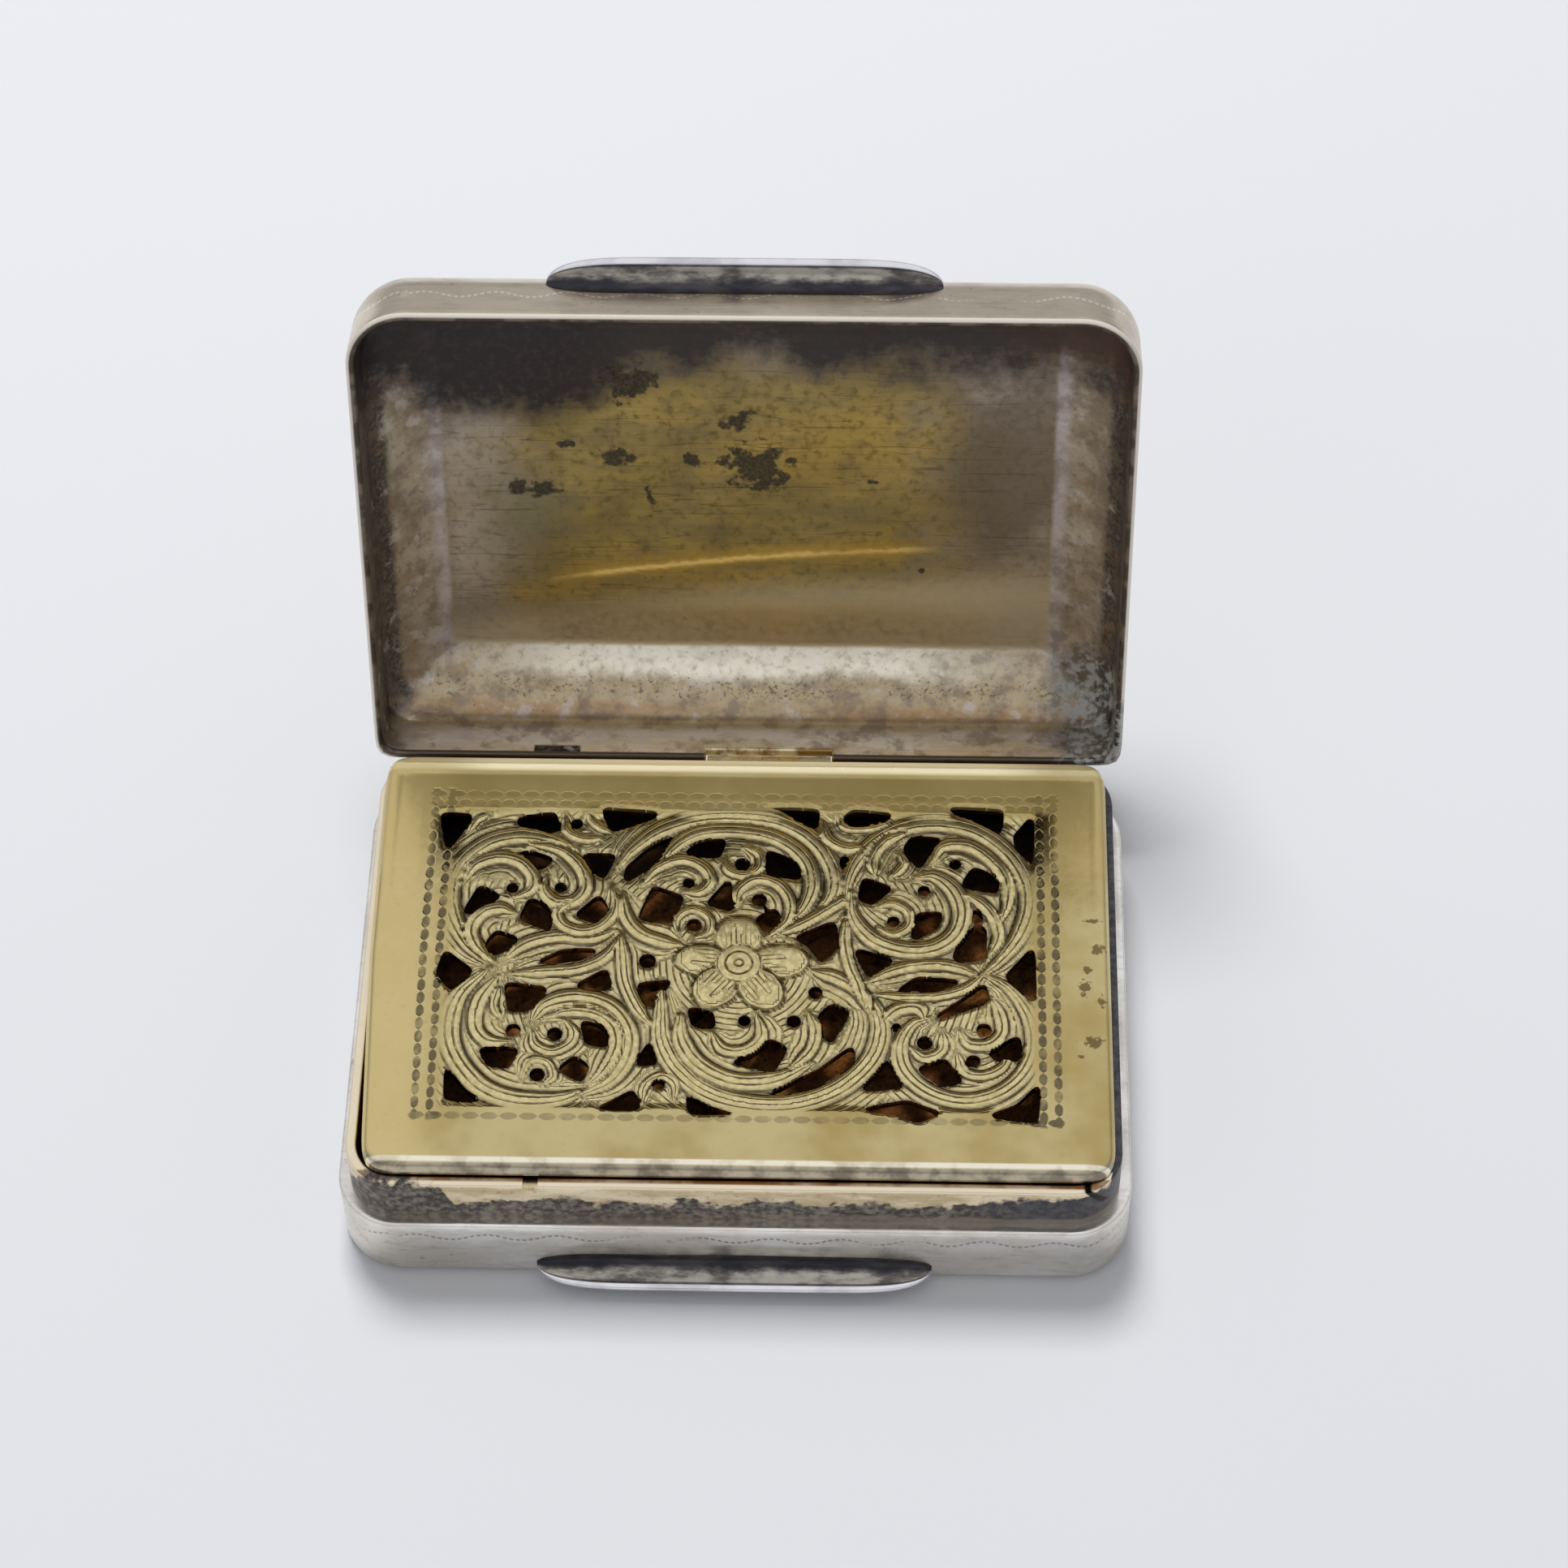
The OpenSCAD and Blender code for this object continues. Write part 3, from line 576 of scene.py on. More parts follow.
# Sawn piercings, each by the corners of its outline
SAW_CUTS = [
    [(-12.6, 7), (-11.5, 7), (-12.3, 5.4)],
    [(-9.4, 6.9), (-8, 7.1), (-7.75, 6.4), (-9.3, 6.35)],
    [(-9.5, 5.15), (-8.8, 5.15), (-8, 4.85), (-8.45, 4.4)],
    [(-6.75, 5.05), (-5.4, 5.05), (-5.8, 4.05)],
    [(-10.1, 2.95), (-10.8, 3.4), (-11.4, 2.1), (-10.6, 2.6)],
    [(-8.7, 2.8), (-7.8, 2.3), (-7.9, 1.4), (-9, 1.9)],
    [(-5.9, 2.95), (-5.35, 2), (-6, 1.8), (-6.7, 2.1)],
    [(-10, 1.15), (-9.1, 0.8), (-10.1, 0.1), (-10.4, 0.5)],
    [(-5.95, 0.3), (-6.6, -0.05), (-8.1, -0.25), (-7.2, 0.25)],
    [(-12, 0.05), (-11, -0.75), (-11.75, -1.6), (-12.25, -0.9)],
    [(-5.45, -0.7), (-5.3, -1.5), (-6.5, -1.4)],
    [(-9.4, -1.4), (-7.9, -1.6), (-8.3, -2.5), (-9.2, -2.6)],
    [(-6.2, -3.2), (-5.3, -3.5), (-4.95, -4.3), (-6, -4.1)],
    [(-10.3, -4.5), (-8.9, -4.55), (-9.2, -5.3), (-9.9, -5.2)],
    [(-6.5, -4.9), (-6, -5.3), (-6.2, -5.9), (-7, -5.4)],
    [(-11.65, -5.4), (-11, -6.2), (-9.8, -6.95), (-11.6, -6.85)],
    [(-4.1, -6.5), (-3.85, -7.25), (-5.3, -7.25), (-4.7, -6.9)],
    [(-5.85, 7.35), (-3.7, 7.2), (-5.45, 6.45)],
    [(-2.6, 6.35), (-3.9, 4.6), (-4.8, 3.9), (-4.7, 4.5), (-3.9, 5.4)],
    [(-0.75, 6.2), (-1.05, 5.15), (-2.3, 5.3), (-1.6, 5.95)],
    [(0.9, 7.5), (3.05, 7.4), (2.9, 6.2)],
    [(1.05, 5.35), (2.1, 4.9), (2.4, 4.1), (1.1, 4.35)],
    [(-3.6, 3.45), (-2.5, 3), (-2.9, 1.8), (-4.1, 2)],
    [(-0.55, 3.8), (-0.4, 2.5), (-1.3, 2.75)],
    [(0.55, 1.85), (1.4, 2.4), (1.7, 1.7), (1.1, 1.35)],
    [(3.8, 1.8), (4, 0.8), (3.4, 0), (2.95, 0.7), (2.4, 1.1)],
    [(-4, -1.35), (-2.85, -1.15), (-3.2, -2.4), (-3.7, -2.2)],
    [(-3.4, -4), (-2.8, -5), (-3.9, -5.1)],
    [(-1.9, -2.5), (-1.1, -2.6), (-1, -3.3), (-1.7, -3.2)],
    [(1.05, -3.8), (1.95, -4.3), (1.5, -5.3), (0, -5)],
    [(3.85, -2.25), (4.45, -2.5), (3.8, -3.9), (3.15, -3)],
    [(4.65, -4.3), (4.7, -4.9), (3.2, -6), (1.4, -6.5), (3.4, -5.4)],
    [(-1.85, -6.35), (-1.2, -6.9), (0, -7.4), (-1.7, -7.4)],
    [(4.05, 6.9), (4.6, 7.4), (6.1, 7.25), (5.2, 6.9)],
    [(8.7, 7.6), (10.75, 7.5), (10.65, 6.3)],
    [(12, 7.1), (11.95, 4.7), (11.65, 4.7), (11.4, 6.3)],
    [(8.2, 6.1), (7.1, 6.15), (6.8, 5.6), (7.35, 4.75), (7.7, 5.5)],
    [(4.85, 5.2), (3.55, 5.05), (4.05, 3.75)],
    [(9.65, 4.6), (10.4, 4.25), (10.8, 3.5), (9.2, 3.8)],
    [(5.1, 4), (6.1, 3.6), (5.4, 2.9), (4.95, 3.1)],
    [(7.1, 2.25), (8.2, 2.35), (8.05, 1.75), (7.15, 1.15)],
    [(9.7, 2.7), (9.9, 2.1), (9.3, 2.1)],
    [(9.15, 1.5), (10, 1.6), (9.95, 0.2), (8.85, 0.1)],
    [(4.85, 0.45), (6.2, 0.05), (5.35, -0.75)],
    [(11.95, 0.5), (12, -1.7), (11, -0.7)],
    [(7.3, -0.9), (8.9, -1), (7.9, -1.35), (6.4, -1.6)],
    [(10, -1.2), (10.05, -1.9), (8.15, -2.7), (9.2, -1.9)],
    [(6.6, -3.15), (6.1, -3.1), (6, -4.4)],
    [(5.95, -4.6), (6.65, -6), (5.2, -6.15)],
    [(11.35, -3.7), (11.4, -4.6), (10.85, -4.9), (10.2, -4.35)],
    [(8.3, -4.7), (9, -5.75), (8.3, -5.9), (7.45, -5.2)],
    [(5.3, -7.15), (6.9, -6.8), (8.1, -7.3), (7.3, -7.65), (6.4, -7.3)],
    [(12.1, -6.1), (12, -7.6), (10.35, -7.4), (11.4, -6.9)],
]
# Scroll strands as half width, engraved lines, and the points that the middle of the strand follows.
# A later strand lies over an earlier one.
STRANDS = [
    (0.35, 3, [(-9.6, -0.2), (-8.8, 0.6), (-7.5, 1), (-6.1, 0.95), (-5.1, 1.3)]),
    (0.3, 3, [(-9.3, -0.9), (-8, -0.75), (-6.6, -0.6), (-5.5, 0), (-4.9, 1)]),
    (0.45, 4, [(-10.2, -0.5), (-11.25, 0.65), (-11.9, 2.15), (-12, 3.7), (-11.55, 4.8), (-10.6, 5.7),
               (-9.3, 6.05), (-8, 5.8), (-6.9, 5.3)]),
    (0.35, 3, [(-8.9, 5.6), (-7.6, 5.3), (-6.75, 4.5), (-6.45, 3.5), (-6.9, 2.75), (-7.7, 2.7),
               (-8.2, 3.3), (-8.1, 4)]),
    (0.35, 3, [(-11.55, 3.6), (-11.1, 4.5), (-10.2, 4.9), (-9.3, 4.7), (-8.7, 4), (-8.75, 3.3),
               (-9.4, 2.85)]),
    (0.35, 3, [(-10, -0.4), (-10.8, 0.5), (-11.05, 1.4), (-10.6, 2.15), (-9.9, 2.35), (-9.35, 2.1)]),
    (0.3, 3, [(-5.35, 3.6), (-5.2, 2.4), (-5.7, 1.55), (-6.5, 1.25), (-7.3, 1.55), (-7.55, 2.2),
               (-7, 2.7)]),
    (0.5, 4, [(-10.2, -0.6), (-11.4, -2), (-11.7, -3.6), (-11.3, -5), (-10.2, -6.3), (-8.8, -6.9),
               (-7.2, -6.9), (-5.8, -6.4)]),
    (0.35, 3, [(-9.8, -1), (-10.5, -2.2), (-10.6, -3.4), (-10.1, -4.1), (-9.2, -4.2)]),
    (0.2, 2, [(-9.75, -1.5), (-9.9, -2.4), (-9.6, -3.1)]),
    (0.5, 4, [(-8.3, -3.2), (-7.8, -2.4), (-6.6, -2.05), (-5.3, -2.4), (-4.5, -3.4), (-4.4, -4.6),
               (-5, -5.9), (-6.2, -6.7)]),
    (0.3, 3, [(-7.7, -3), (-6.9, -2.7), (-5.9, -2.75), (-5.1, -3.3), (-4.85, -4.3), (-5.3, -5.5),
               (-5.9, -6.2)]),
    (0.25, 2, [(-8.3, -3.6), (-8.1, -4.3), (-7.4, -4.6), (-6.7, -4.2), (-6.6, -3.6), (-7, -3.1)]),
    (0.2, 2, [(-8.6, -6), (-8.3, -5.1), (-7.6, -5.1), (-7.3, -5.8), (-7.8, -6.3)]),
    (0.35, 4, [(-4.9, 1.2), (-4.75, 0), (-4.6, -1.2), (-4.1, -2.4), (-3.5, -3.3)]),
    (0.45, 4, [(-5.2, 4.4), (-4.6, 5.4), (-3.5, 6.4), (-2, 7), (-0.3, 7.15), (1.5, 6.9), (2.9, 6),
               (3.7, 4.7), (3.8, 3.4), (3.2, 2.2), (2.2, 1.4)]),
    (0.4, 4, [(-3.5, 4.3), (-2.9, 5.5), (-1.8, 6.3), (0, 6.4), (1.5, 6), (2.6, 5), (2.9, 3.8),
               (2.6, 2.6), (1.9, 1.7)]),
    (0.3, 3, [(-4.1, 3.6), (-3.6, 4.4), (-2.6, 4.9), (-1.7, 4.6), (-1.3, 3.9), (-1.7, 3.3),
               (-2.4, 3.25)]),
    (0.25, 2, [(0, 5.6), (0.7, 5.2), (0.7, 4.5), (0.1, 4.15), (-0.6, 4.4), (-0.75, 5)]),
    (0.3, 3, [(-0.2, 2.6), (-0.1, 3.4), (0.6, 3.95), (1.5, 3.7), (2, 2.9), (1.9, 1.9), (1.2, 1.1)]),
    (0.22, 2, [(-2.6, 1.2), (-2.6, 2), (-2, 2.4), (-1.3, 2), (-1.3, 1.3), (-1.9, 0.95)]),
    (0.35, 3, [(-4.9, 3.2), (-4.7, 2), (-4.1, 1.2), (-3.2, 0.8), (-2.4, 0.6)]),
    (0.5, 5, [(-3.1, -1.3), (-3.1, -2.6), (-3, -4), (-2.3, -5.4), (-1, -6.5), (0.8, -7), (2.6, -6.9),
               (4.3, -6.1), (5.5, -4.7), (5.8, -3.2), (5.3, -1.9), (4.2, -1)]),
    (0.45, 4, [(-2.3, -2.7), (-2.2, -4), (-1.4, -5.2), (0, -5.9), (1.6, -5.8), (3.1, -5)]),
    (0.3, 3, [(-1, -3.6), (-0.5, -4.4), (0.4, -4.4), (1, -3.7), (0.8, -2.7)]),
    (0.3, 3, [(2.9, -2.6), (3.2, -3.4), (3, -4.4), (2.2, -5.3)]),
    (0.35, 3, [(3, -0.6), (4, -0.9), (5, -1.6), (5.4, -2.6)]),
    (0.3, 3, [(1.6, 1.2), (2.8, 1.9), (3.9, 2.7), (4.7, 3.3)]),
    (0.3, 3, [(4.35, 2.2), (4.3, 1), (4.5, -0.2), (4.9, -1.3), (5.2, -2.4)]),
    (0.45, 4, [(4.3, 2.9), (4.5, 4.3), (5.2, 5.6), (6.5, 6.6), (8, 6.9), (9.6, 6.6), (10.9, 5.6),
               (11.7, 4.2), (11.85, 2.7), (11.4, 1.2), (10.6, 0), (9.9, -0.7)]),
    (0.45, 4, [(4.55, 3.4), (4.65, 2.2), (5.4, 1.1), (6.6, 0.55), (7.9, 0.6), (8.8, 1.3), (9.1, 2.4),
               (8.8, 3.5), (8, 4.2), (7.2, 4.1)]),
    (0.3, 3, [(5.5, 4.2), (5.4, 5), (5.9, 5.9), (6.8, 6.4)]),
    (0.25, 2, [(6.2, 4.1), (6.7, 4.8), (6.5, 5.4)]),
    (0.35, 3, [(7.9, 4.9), (8.3, 5.7), (9.3, 5.8), (10.2, 5.2), (10.9, 4.2), (11, 3), (10.7, 1.9)]),
    (0.3, 3, [(9.3, 3.3), (9.9, 2.9), (10.4, 2.2), (10.6, 1.2), (10.2, 0.2)]),
    (0.25, 2, [(5.6, 2.6), (6.3, 2.8), (6.9, 2.4), (6.9, 1.7), (6.3, 1.3), (5.6, 1.6)]),
    (0.3, 3, [(5.2, -1.1), (6.3, -0.5), (7.6, -0.2), (8.9, -0.3), (9.9, -0.8)]),
    (0.25, 3, [(5.6, -1.7), (6.8, -1.75), (8.2, -1.7), (9.3, -1.3), (10, -0.6)]),
    (0.4, 4, [(9.9, -0.6), (11, -1.3), (11.8, -2.6), (12, -4), (11.6, -5.3), (10.6, -6.3), (9.2, -6.7),
               (7.8, -6.3), (6.8, -5.3), (6.6, -4.1), (7.1, -3.1), (7.9, -2.8)]),
    (0.25, 2, [(8.3, -3.4), (8.3, -4.3), (7.6, -4.7), (7, -4.2)]),
    (0.3, 3, [(9, -3.4), (9.4, -4), (10.2, -4), (10.7, -3.4), (10.6, -2.5), (10.3, -1.8)]),
    (0.25, 2, [(8.9, -4.4), (9.2, -5.3), (9.9, -5.5), (10.6, -5.2), (11.1, -4.6)]),
    (0.35, 3, [(5.9, -3), (6.5, -2.4), (7.3, -2.3), (7.6, -2.8)]),
    (0.3, 3, [(3.3, 7), (3.5, 6.1), (4.2, 5.6), (5, 5.6)]),
    (0.2, 2, [(3.9, 7.2), (4.3, 6.6), (5.3, 6.6), (6.3, 7)]),
    (0.25, 2, [(-7.5, 7.1), (-7.4, 6.3), (-6.7, 5.9), (-5.9, 5.9)]),
    (0.2, 2, [(-6.6, 7.2), (-6.2, 6.6), (-5.5, 6.2)]),
    (0.2, 2, [(-11.5, 6.2), (-11.2, 6.8), (-10.7, 7.1)]),
    (0.2, 2, [(-3.7, -7.1), (-3.6, -6.2), (-3, -5.7), (-2.4, -6.1), (-2.4, -6.9)]),
]
FLOWER = (0.0, -0.25)
HEART_R = 0.95
# Petals as the way they point in degrees, how far they reach from the heart, and half their width
PETALS = [(92, 2.4, 1.05), (175, 2.75, 0.85), (4, 3.0, 0.9), (232, 2.65, 1.0), (-53, 2.75, 0.95)]
PETAL_ROOT = 0.3
# Height of a petal and of the heart at the edge, and how much more in the middle
PETAL_RISE = (0.02, 0.06)
HEART_RISE = (0.05, 0.05)
# How much a piercing may widen, and how far inside its outline it always stays open
WIDER = 0.16
OPEN_IN = 0.26
EDGE_PULL = 0.07


def outline_depth(px, py, corners):
    """Signed distance to a straight-sided outline: least distance to its edges, negative inside, where
    a ray along x crosses the outline an odd number of times."""
    ends = np.array(corners, float)
    least = np.full(px.shape, 1e9)
    inside = np.zeros(px.shape, bool)
    for (ax, ay), (bx, by) in zip(ends, np.roll(ends, -1, 0)):
        dx, dy = bx - ax, by - ay
        share = np.clip(((px - ax) * dx + (py - ay) * dy) / (dx * dx + dy * dy), 0, 1)
        least = np.minimum(least, np.hypot(px - ax - share * dx, py - ay - share * dy))
        crosses = (ay > py) != (by > py)
        inside ^= crosses & (px < ax + (py - ay) * dx / (dy if dy else 1e-9))
    return np.where(inside, -least, least)


def smooth_way(points, steps):
    """Smooth curve through given points: on each stretch a cubic whose slope at a point is half the
    step between its two neighbours."""
    p = np.array(points, float)
    p = np.vstack([2 * p[0] - p[1], p, 2 * p[-1] - p[-2]])
    t = np.linspace(0, 1, steps, endpoint=False)[None, :, None]
    a, b, c, d = (p[i:len(p) - 3 + i][:, None] for i in range(4))
    square = (2 * a - 5 * b + 4 * c - d) * t ** 2
    cube = (3 * b - a - 3 * c + d) * t ** 3
    curve = 0.5 * (2 * b + (c - a) * t + square + cube)
    return np.vstack([curve.reshape(-1, 2), p[-2:-1]])


def strand_field(px, py, half, points):
    """For each place: its offset across the strand as a share of the strand's half width, and its
    distance outside the strand. The half width rises and falls at the ends as a square root."""
    way = smooth_way(points, 12)
    slope = np.gradient(way, axis=0)
    slope /= np.linalg.norm(slope, axis=1)[:, None]
    share = np.linspace(0, 1, len(way))
    width = half * np.sqrt(np.clip(np.minimum(share, 1 - share) * 4.5, 0.05, 1))
    gap = np.hypot(px[:, None] - way[:, 0], py[:, None] - way[:, 1])
    near = gap.argmin(1)
    off = np.take_along_axis(gap, near[:, None], 1)[:, 0]
    side = (px - way[near, 0]) * -slope[near, 1] + (py - way[near, 1]) * slope[near, 0]
    across = np.sign(side) * off / width[near]
    return across, off - width[near]


field_cols = np.linspace(-GRILLE_X, GRILLE_X, FIELD_COLS)
field_rows = np.linspace(-GRILLE_Y, GRILLE_Y, FIELD_ROWS)
field_x, field_y = np.meshgrid(field_cols, field_rows)
flat_x, flat_y = field_x.ravel(), field_y.ravel()
cut_line = np.zeros(flat_x.size)
relief = np.zeros(flat_x.size)
best = np.full(flat_x.size, 9.0)
on_strand = np.zeros(flat_x.size, bool)
off_strand = np.full(flat_x.size, 9.0)
for half, cuts, points in STRANDS:
    reach = np.array(points)
    low, high = reach.min(0) - 1.6, reach.max(0) + 1.6
    in_cols = (flat_x > low[0]) & (flat_x < high[0])
    near = np.flatnonzero(in_cols & (flat_y > low[1]) & (flat_y < high[1]))
    across, outside = strand_field(flat_x[near], flat_y[near], half, points)
    within = np.abs(across) < 1
    takes = within | (~on_strand[near] & (np.abs(across) < best[near]))
    chosen = near[takes]
    cut_line[chosen] = (across[takes] + 1) / 2 * max(cuts - 1, 2)
    best[chosen] = np.abs(across[takes])
    crown = SCROLL_H * np.sqrt(np.clip(1 - across ** 2, 0, 1))
    relief[near] = np.where(within, crown, relief[near])
    on_strand[near] |= within
    off_strand[near] = np.minimum(off_strand[near], outside)

# The flower lies over the scrolls: each petal is a low oval dome with a cut outline and short lines at
# its root, and places that no scroll comes near are lined in rings about it
from_x, from_y = flat_x - FLOWER[0], flat_y - FLOWER[1]
heart = np.hypot(from_x, from_y)
cut_line = np.where(best < 3.0, cut_line, heart / 0.27)
petal_off = np.full(flat_x.size, 9.0)
for aim, reach, half in PETALS:
    aim = math.radians(aim)
    ahead = from_x * math.cos(aim) + from_y * math.sin(aim)
    aside = from_y * math.cos(aim) - from_x * math.sin(aim)
    long_half = (reach - PETAL_ROOT) / 2
    off = np.hypot((ahead - PETAL_ROOT - long_half) / long_half, aside / half)
    within = off < 1
    hatch = np.where(heart < 1.7 + 0.3 * np.sin(11 * aside), 0.5 + aside / 0.2, 0.5)
    cut_line[within] = np.where(off > 0.72, (off - 0.92) / 0.5, hatch)[within]
    relief[within] = PETAL_RISE[0] + PETAL_RISE[1] * np.sqrt(1 - off[within] ** 2)
    best[within] = np.where(off > 0.94, 1.0, 0.5)[within]
    petal_off = np.minimum(petal_off, (off - 1) * half)
within = heart < HEART_R
cut_line[within] = (heart[within] - 0.18) / 0.37
relief[within] = HEART_RISE[0] + HEART_RISE[1] * np.sqrt(1 - (heart[within] / HEART_R) ** 2)
best[within] = 0.5
off_strand = np.minimum(off_strand, np.minimum(petal_off, heart - HEART_R))

# The piercings widen a little up to the scrolls beside them, and are never closed by one
pierced = np.full(flat_x.size, 9.0)
for corners in SAW_CUTS:
    away = outline_depth(flat_x, flat_y, corners)
    widened = np.maximum(away - WIDER, -off_strand)
    pierced = np.minimum(pierced, np.minimum(widened, away + OPEN_IN))
for ex, ey, radius in EYES:
    pierced = np.minimum(pierced, np.hypot(flat_x - ex, flat_y - ey) - radius)
# Their edges are smoothed, and the grid's points beside an edge are drawn onto it
pierced = np.minimum(pierced, 0.6).reshape(FIELD_ROWS, FIELD_COLS)
for axis in (0, 1) * 4:
    pierced = (np.roll(pierced, 1, axis) + 2 * pierced + np.roll(pierced, -1, axis)) / 4
slope_y, slope_x = np.gradient(pierced, 2 * GRILLE_Y / (FIELD_ROWS - 1), 2 * GRILLE_X / (FIELD_COLS - 1))
steep = np.maximum(slope_x ** 2 + slope_y ** 2, 0.2)
cells = grid_faces(FIELD_ROWS, FIELD_COLS)[:, ::-1]
pull = np.abs(pierced) < EDGE_PULL
settled = np.where(pull, 0, pierced).ravel()
cells = cells[settled[cells].mean(1) > 1e-6]
kept = np.zeros(flat_x.size, bool)
kept[cells] = True
pull |= (kept & (settled < 0)).reshape(pull.shape)
moved_x = np.where(pull, field_x - pierced * slope_x / steep, field_x).ravel()
moved_y = np.where(pull, field_y - pierced * slope_y / steep, field_y).ravel()

# Walls stand where an edge belongs to one cell only
edges = np.vstack([cells[:, [0, 1]], cells[:, [1, 2]], cells[:, [2, 3]], cells[:, [3, 0]]])
key = edges.min(1) * flat_x.size + edges.max(1)
first, counts = np.unique(key, return_index=True, return_counts=True)[1:]
rim = edges[first[counts == 1]]
order = np.cumsum(kept) - 1
total = int(kept.sum())
cells, rim = order[cells], order[rim]
hole_gap = np.maximum(pierced.ravel(), 0)[kept]
rounding = HOLE_ROUND * np.exp(-(hole_gap / 0.07) ** 2)
lined_x = np.clip((LINED_X - np.abs(flat_x[kept])) / 0.5, 0, 1)
lined = lined_x * np.clip((LINED_Y - np.abs(flat_y[kept])) / 0.4, 0, 1)
edge_cut = SCROLL_CUT * np.exp(-((best[kept] - 1) / 0.18) ** 2)
top_z = GRILLE_TOP - FIELD_SUNK * lined + (relief[kept] - edge_cut) * lined - rounding
field_top = np.column_stack([moved_x[kept], moved_y[kept], top_z])
field_under = np.column_stack([moved_x[kept], moved_y[kept], np.full(total, GRILLE_UNDER)])
walls = np.column_stack([rim[:, 1], rim[:, 0], rim[:, 0] + total, rim[:, 1] + total])
field_faces = np.vstack([cells, cells[:, ::-1] + total, walls])

# The plain border around the field, out to the turned-down edge
foot_in = GRILLE_EDGE - GRILLE_EDGE_T
border_section = np.vstack([
    [[0, GRILLE_UNDER, 1], [0, GRILLE_TOP, 1]],
    line(0, GRILLE_TOP, GRILLE_EDGE - GRILLE_ROUND, GRILLE_TOP - 0.02, 6),
    arc(GRILLE_EDGE - GRILLE_ROUND, GRILLE_TOP - GRILLE_ROUND, GRILLE_ROUND, 87, 0, 9),
    [[GRILLE_EDGE, GRILLE_FOOT, 1], [foot_in, GRILLE_FOOT, 1], [foot_in, GRILLE_UNDER, 1]],
])[::-1]
border_spine, border_normal = around_path(GRILLE_X, GRILLE_Y, 0.35)
# Its corners are squarer than a round: each normal is as long as a fourth-power round is there
squarer = (np.abs(border_normal) ** 4).sum(1, keepdims=True) ** -0.25
border_points = carry(border_spine, border_normal * squarer, border_section)
# The back of the plate runs on towards the hinge and is bent up a little
backward = np.clip((border_points[..., 1] - GRILLE_Y) / GRILLE_EDGE, 0, 1)
border_points[..., 1] += BACK_OUT * backward
bent = np.clip((border_points[..., 1] - 9.2) / 0.4, 0, 1) * (border_points[..., 2] > 6.5)
border_points[..., 2] += BACK_UP * bent
# The front of the plate leans out at its foot until it meets the bezel
lean = np.clip((6.75 - border_points[..., 2]) / 0.6, 0, 1) * np.clip(-border_normal[:, 1:], 0, 1) ** 2
border_points[..., 1] -= FRONT_LEAN * lean
border_flat = border_points.reshape(-1, 3)
border_faces = grid_faces(*border_points.shape[:2], ring_rows=True, ring_cols=True) + 2 * total
grille_points = np.vstack([field_top, field_under, border_flat])
# The plate is a little out of square: its front left is drawn in, its back left let out
left_share = np.clip((-grille_points[:, 0] - 10) / 5.2, 0, 1)
towards_back = grille_points[:, 1] / 9
skew = LEFT_FRONT_IN * np.clip(-towards_back, 0, 1) - LEFT_BACK_OUT * np.clip(towards_back, 0, 1)
grille_square = grille_points.copy()
grille_points[:, 0] += left_share * skew
grille = new_piece("pierced_grille", grille_points, np.vstack([field_faces, border_faces]), sharp=50)
bare = np.zeros(len(border_flat))
# Painted shadow along the strands' edges, for the material to darken
strand_edge_shadow = np.exp(-((best[kept] - 1) / 0.16) ** 2) * lined
carries(grille, "place", grille_square)
carries(grille, "cut_line", np.concatenate([cut_line[kept], cut_line[kept], bare]))
carries(grille, "lined", np.concatenate([lined, 0 * lined, bare]))
carries(grille, "strand_edge_shadow", np.concatenate([strand_edge_shadow, 0 * lined, bare]))
carries(grille, "hole_gap", np.concatenate([hole_gap, hole_gap, bare + 5]))


def chain_row(across, along_row, at, pitch):
    """Row of lens-shaped cuts at one place across, spaced evenly along: 1 inside a lens."""
    off = abs(across - at)
    beat = abs((along_row / pitch).step("FRACT") - 0.5)
    waist = (beat * 2.0).step("POWER", 3.0) * 0.19
    return (waist + off).span(0.2, 0.13)


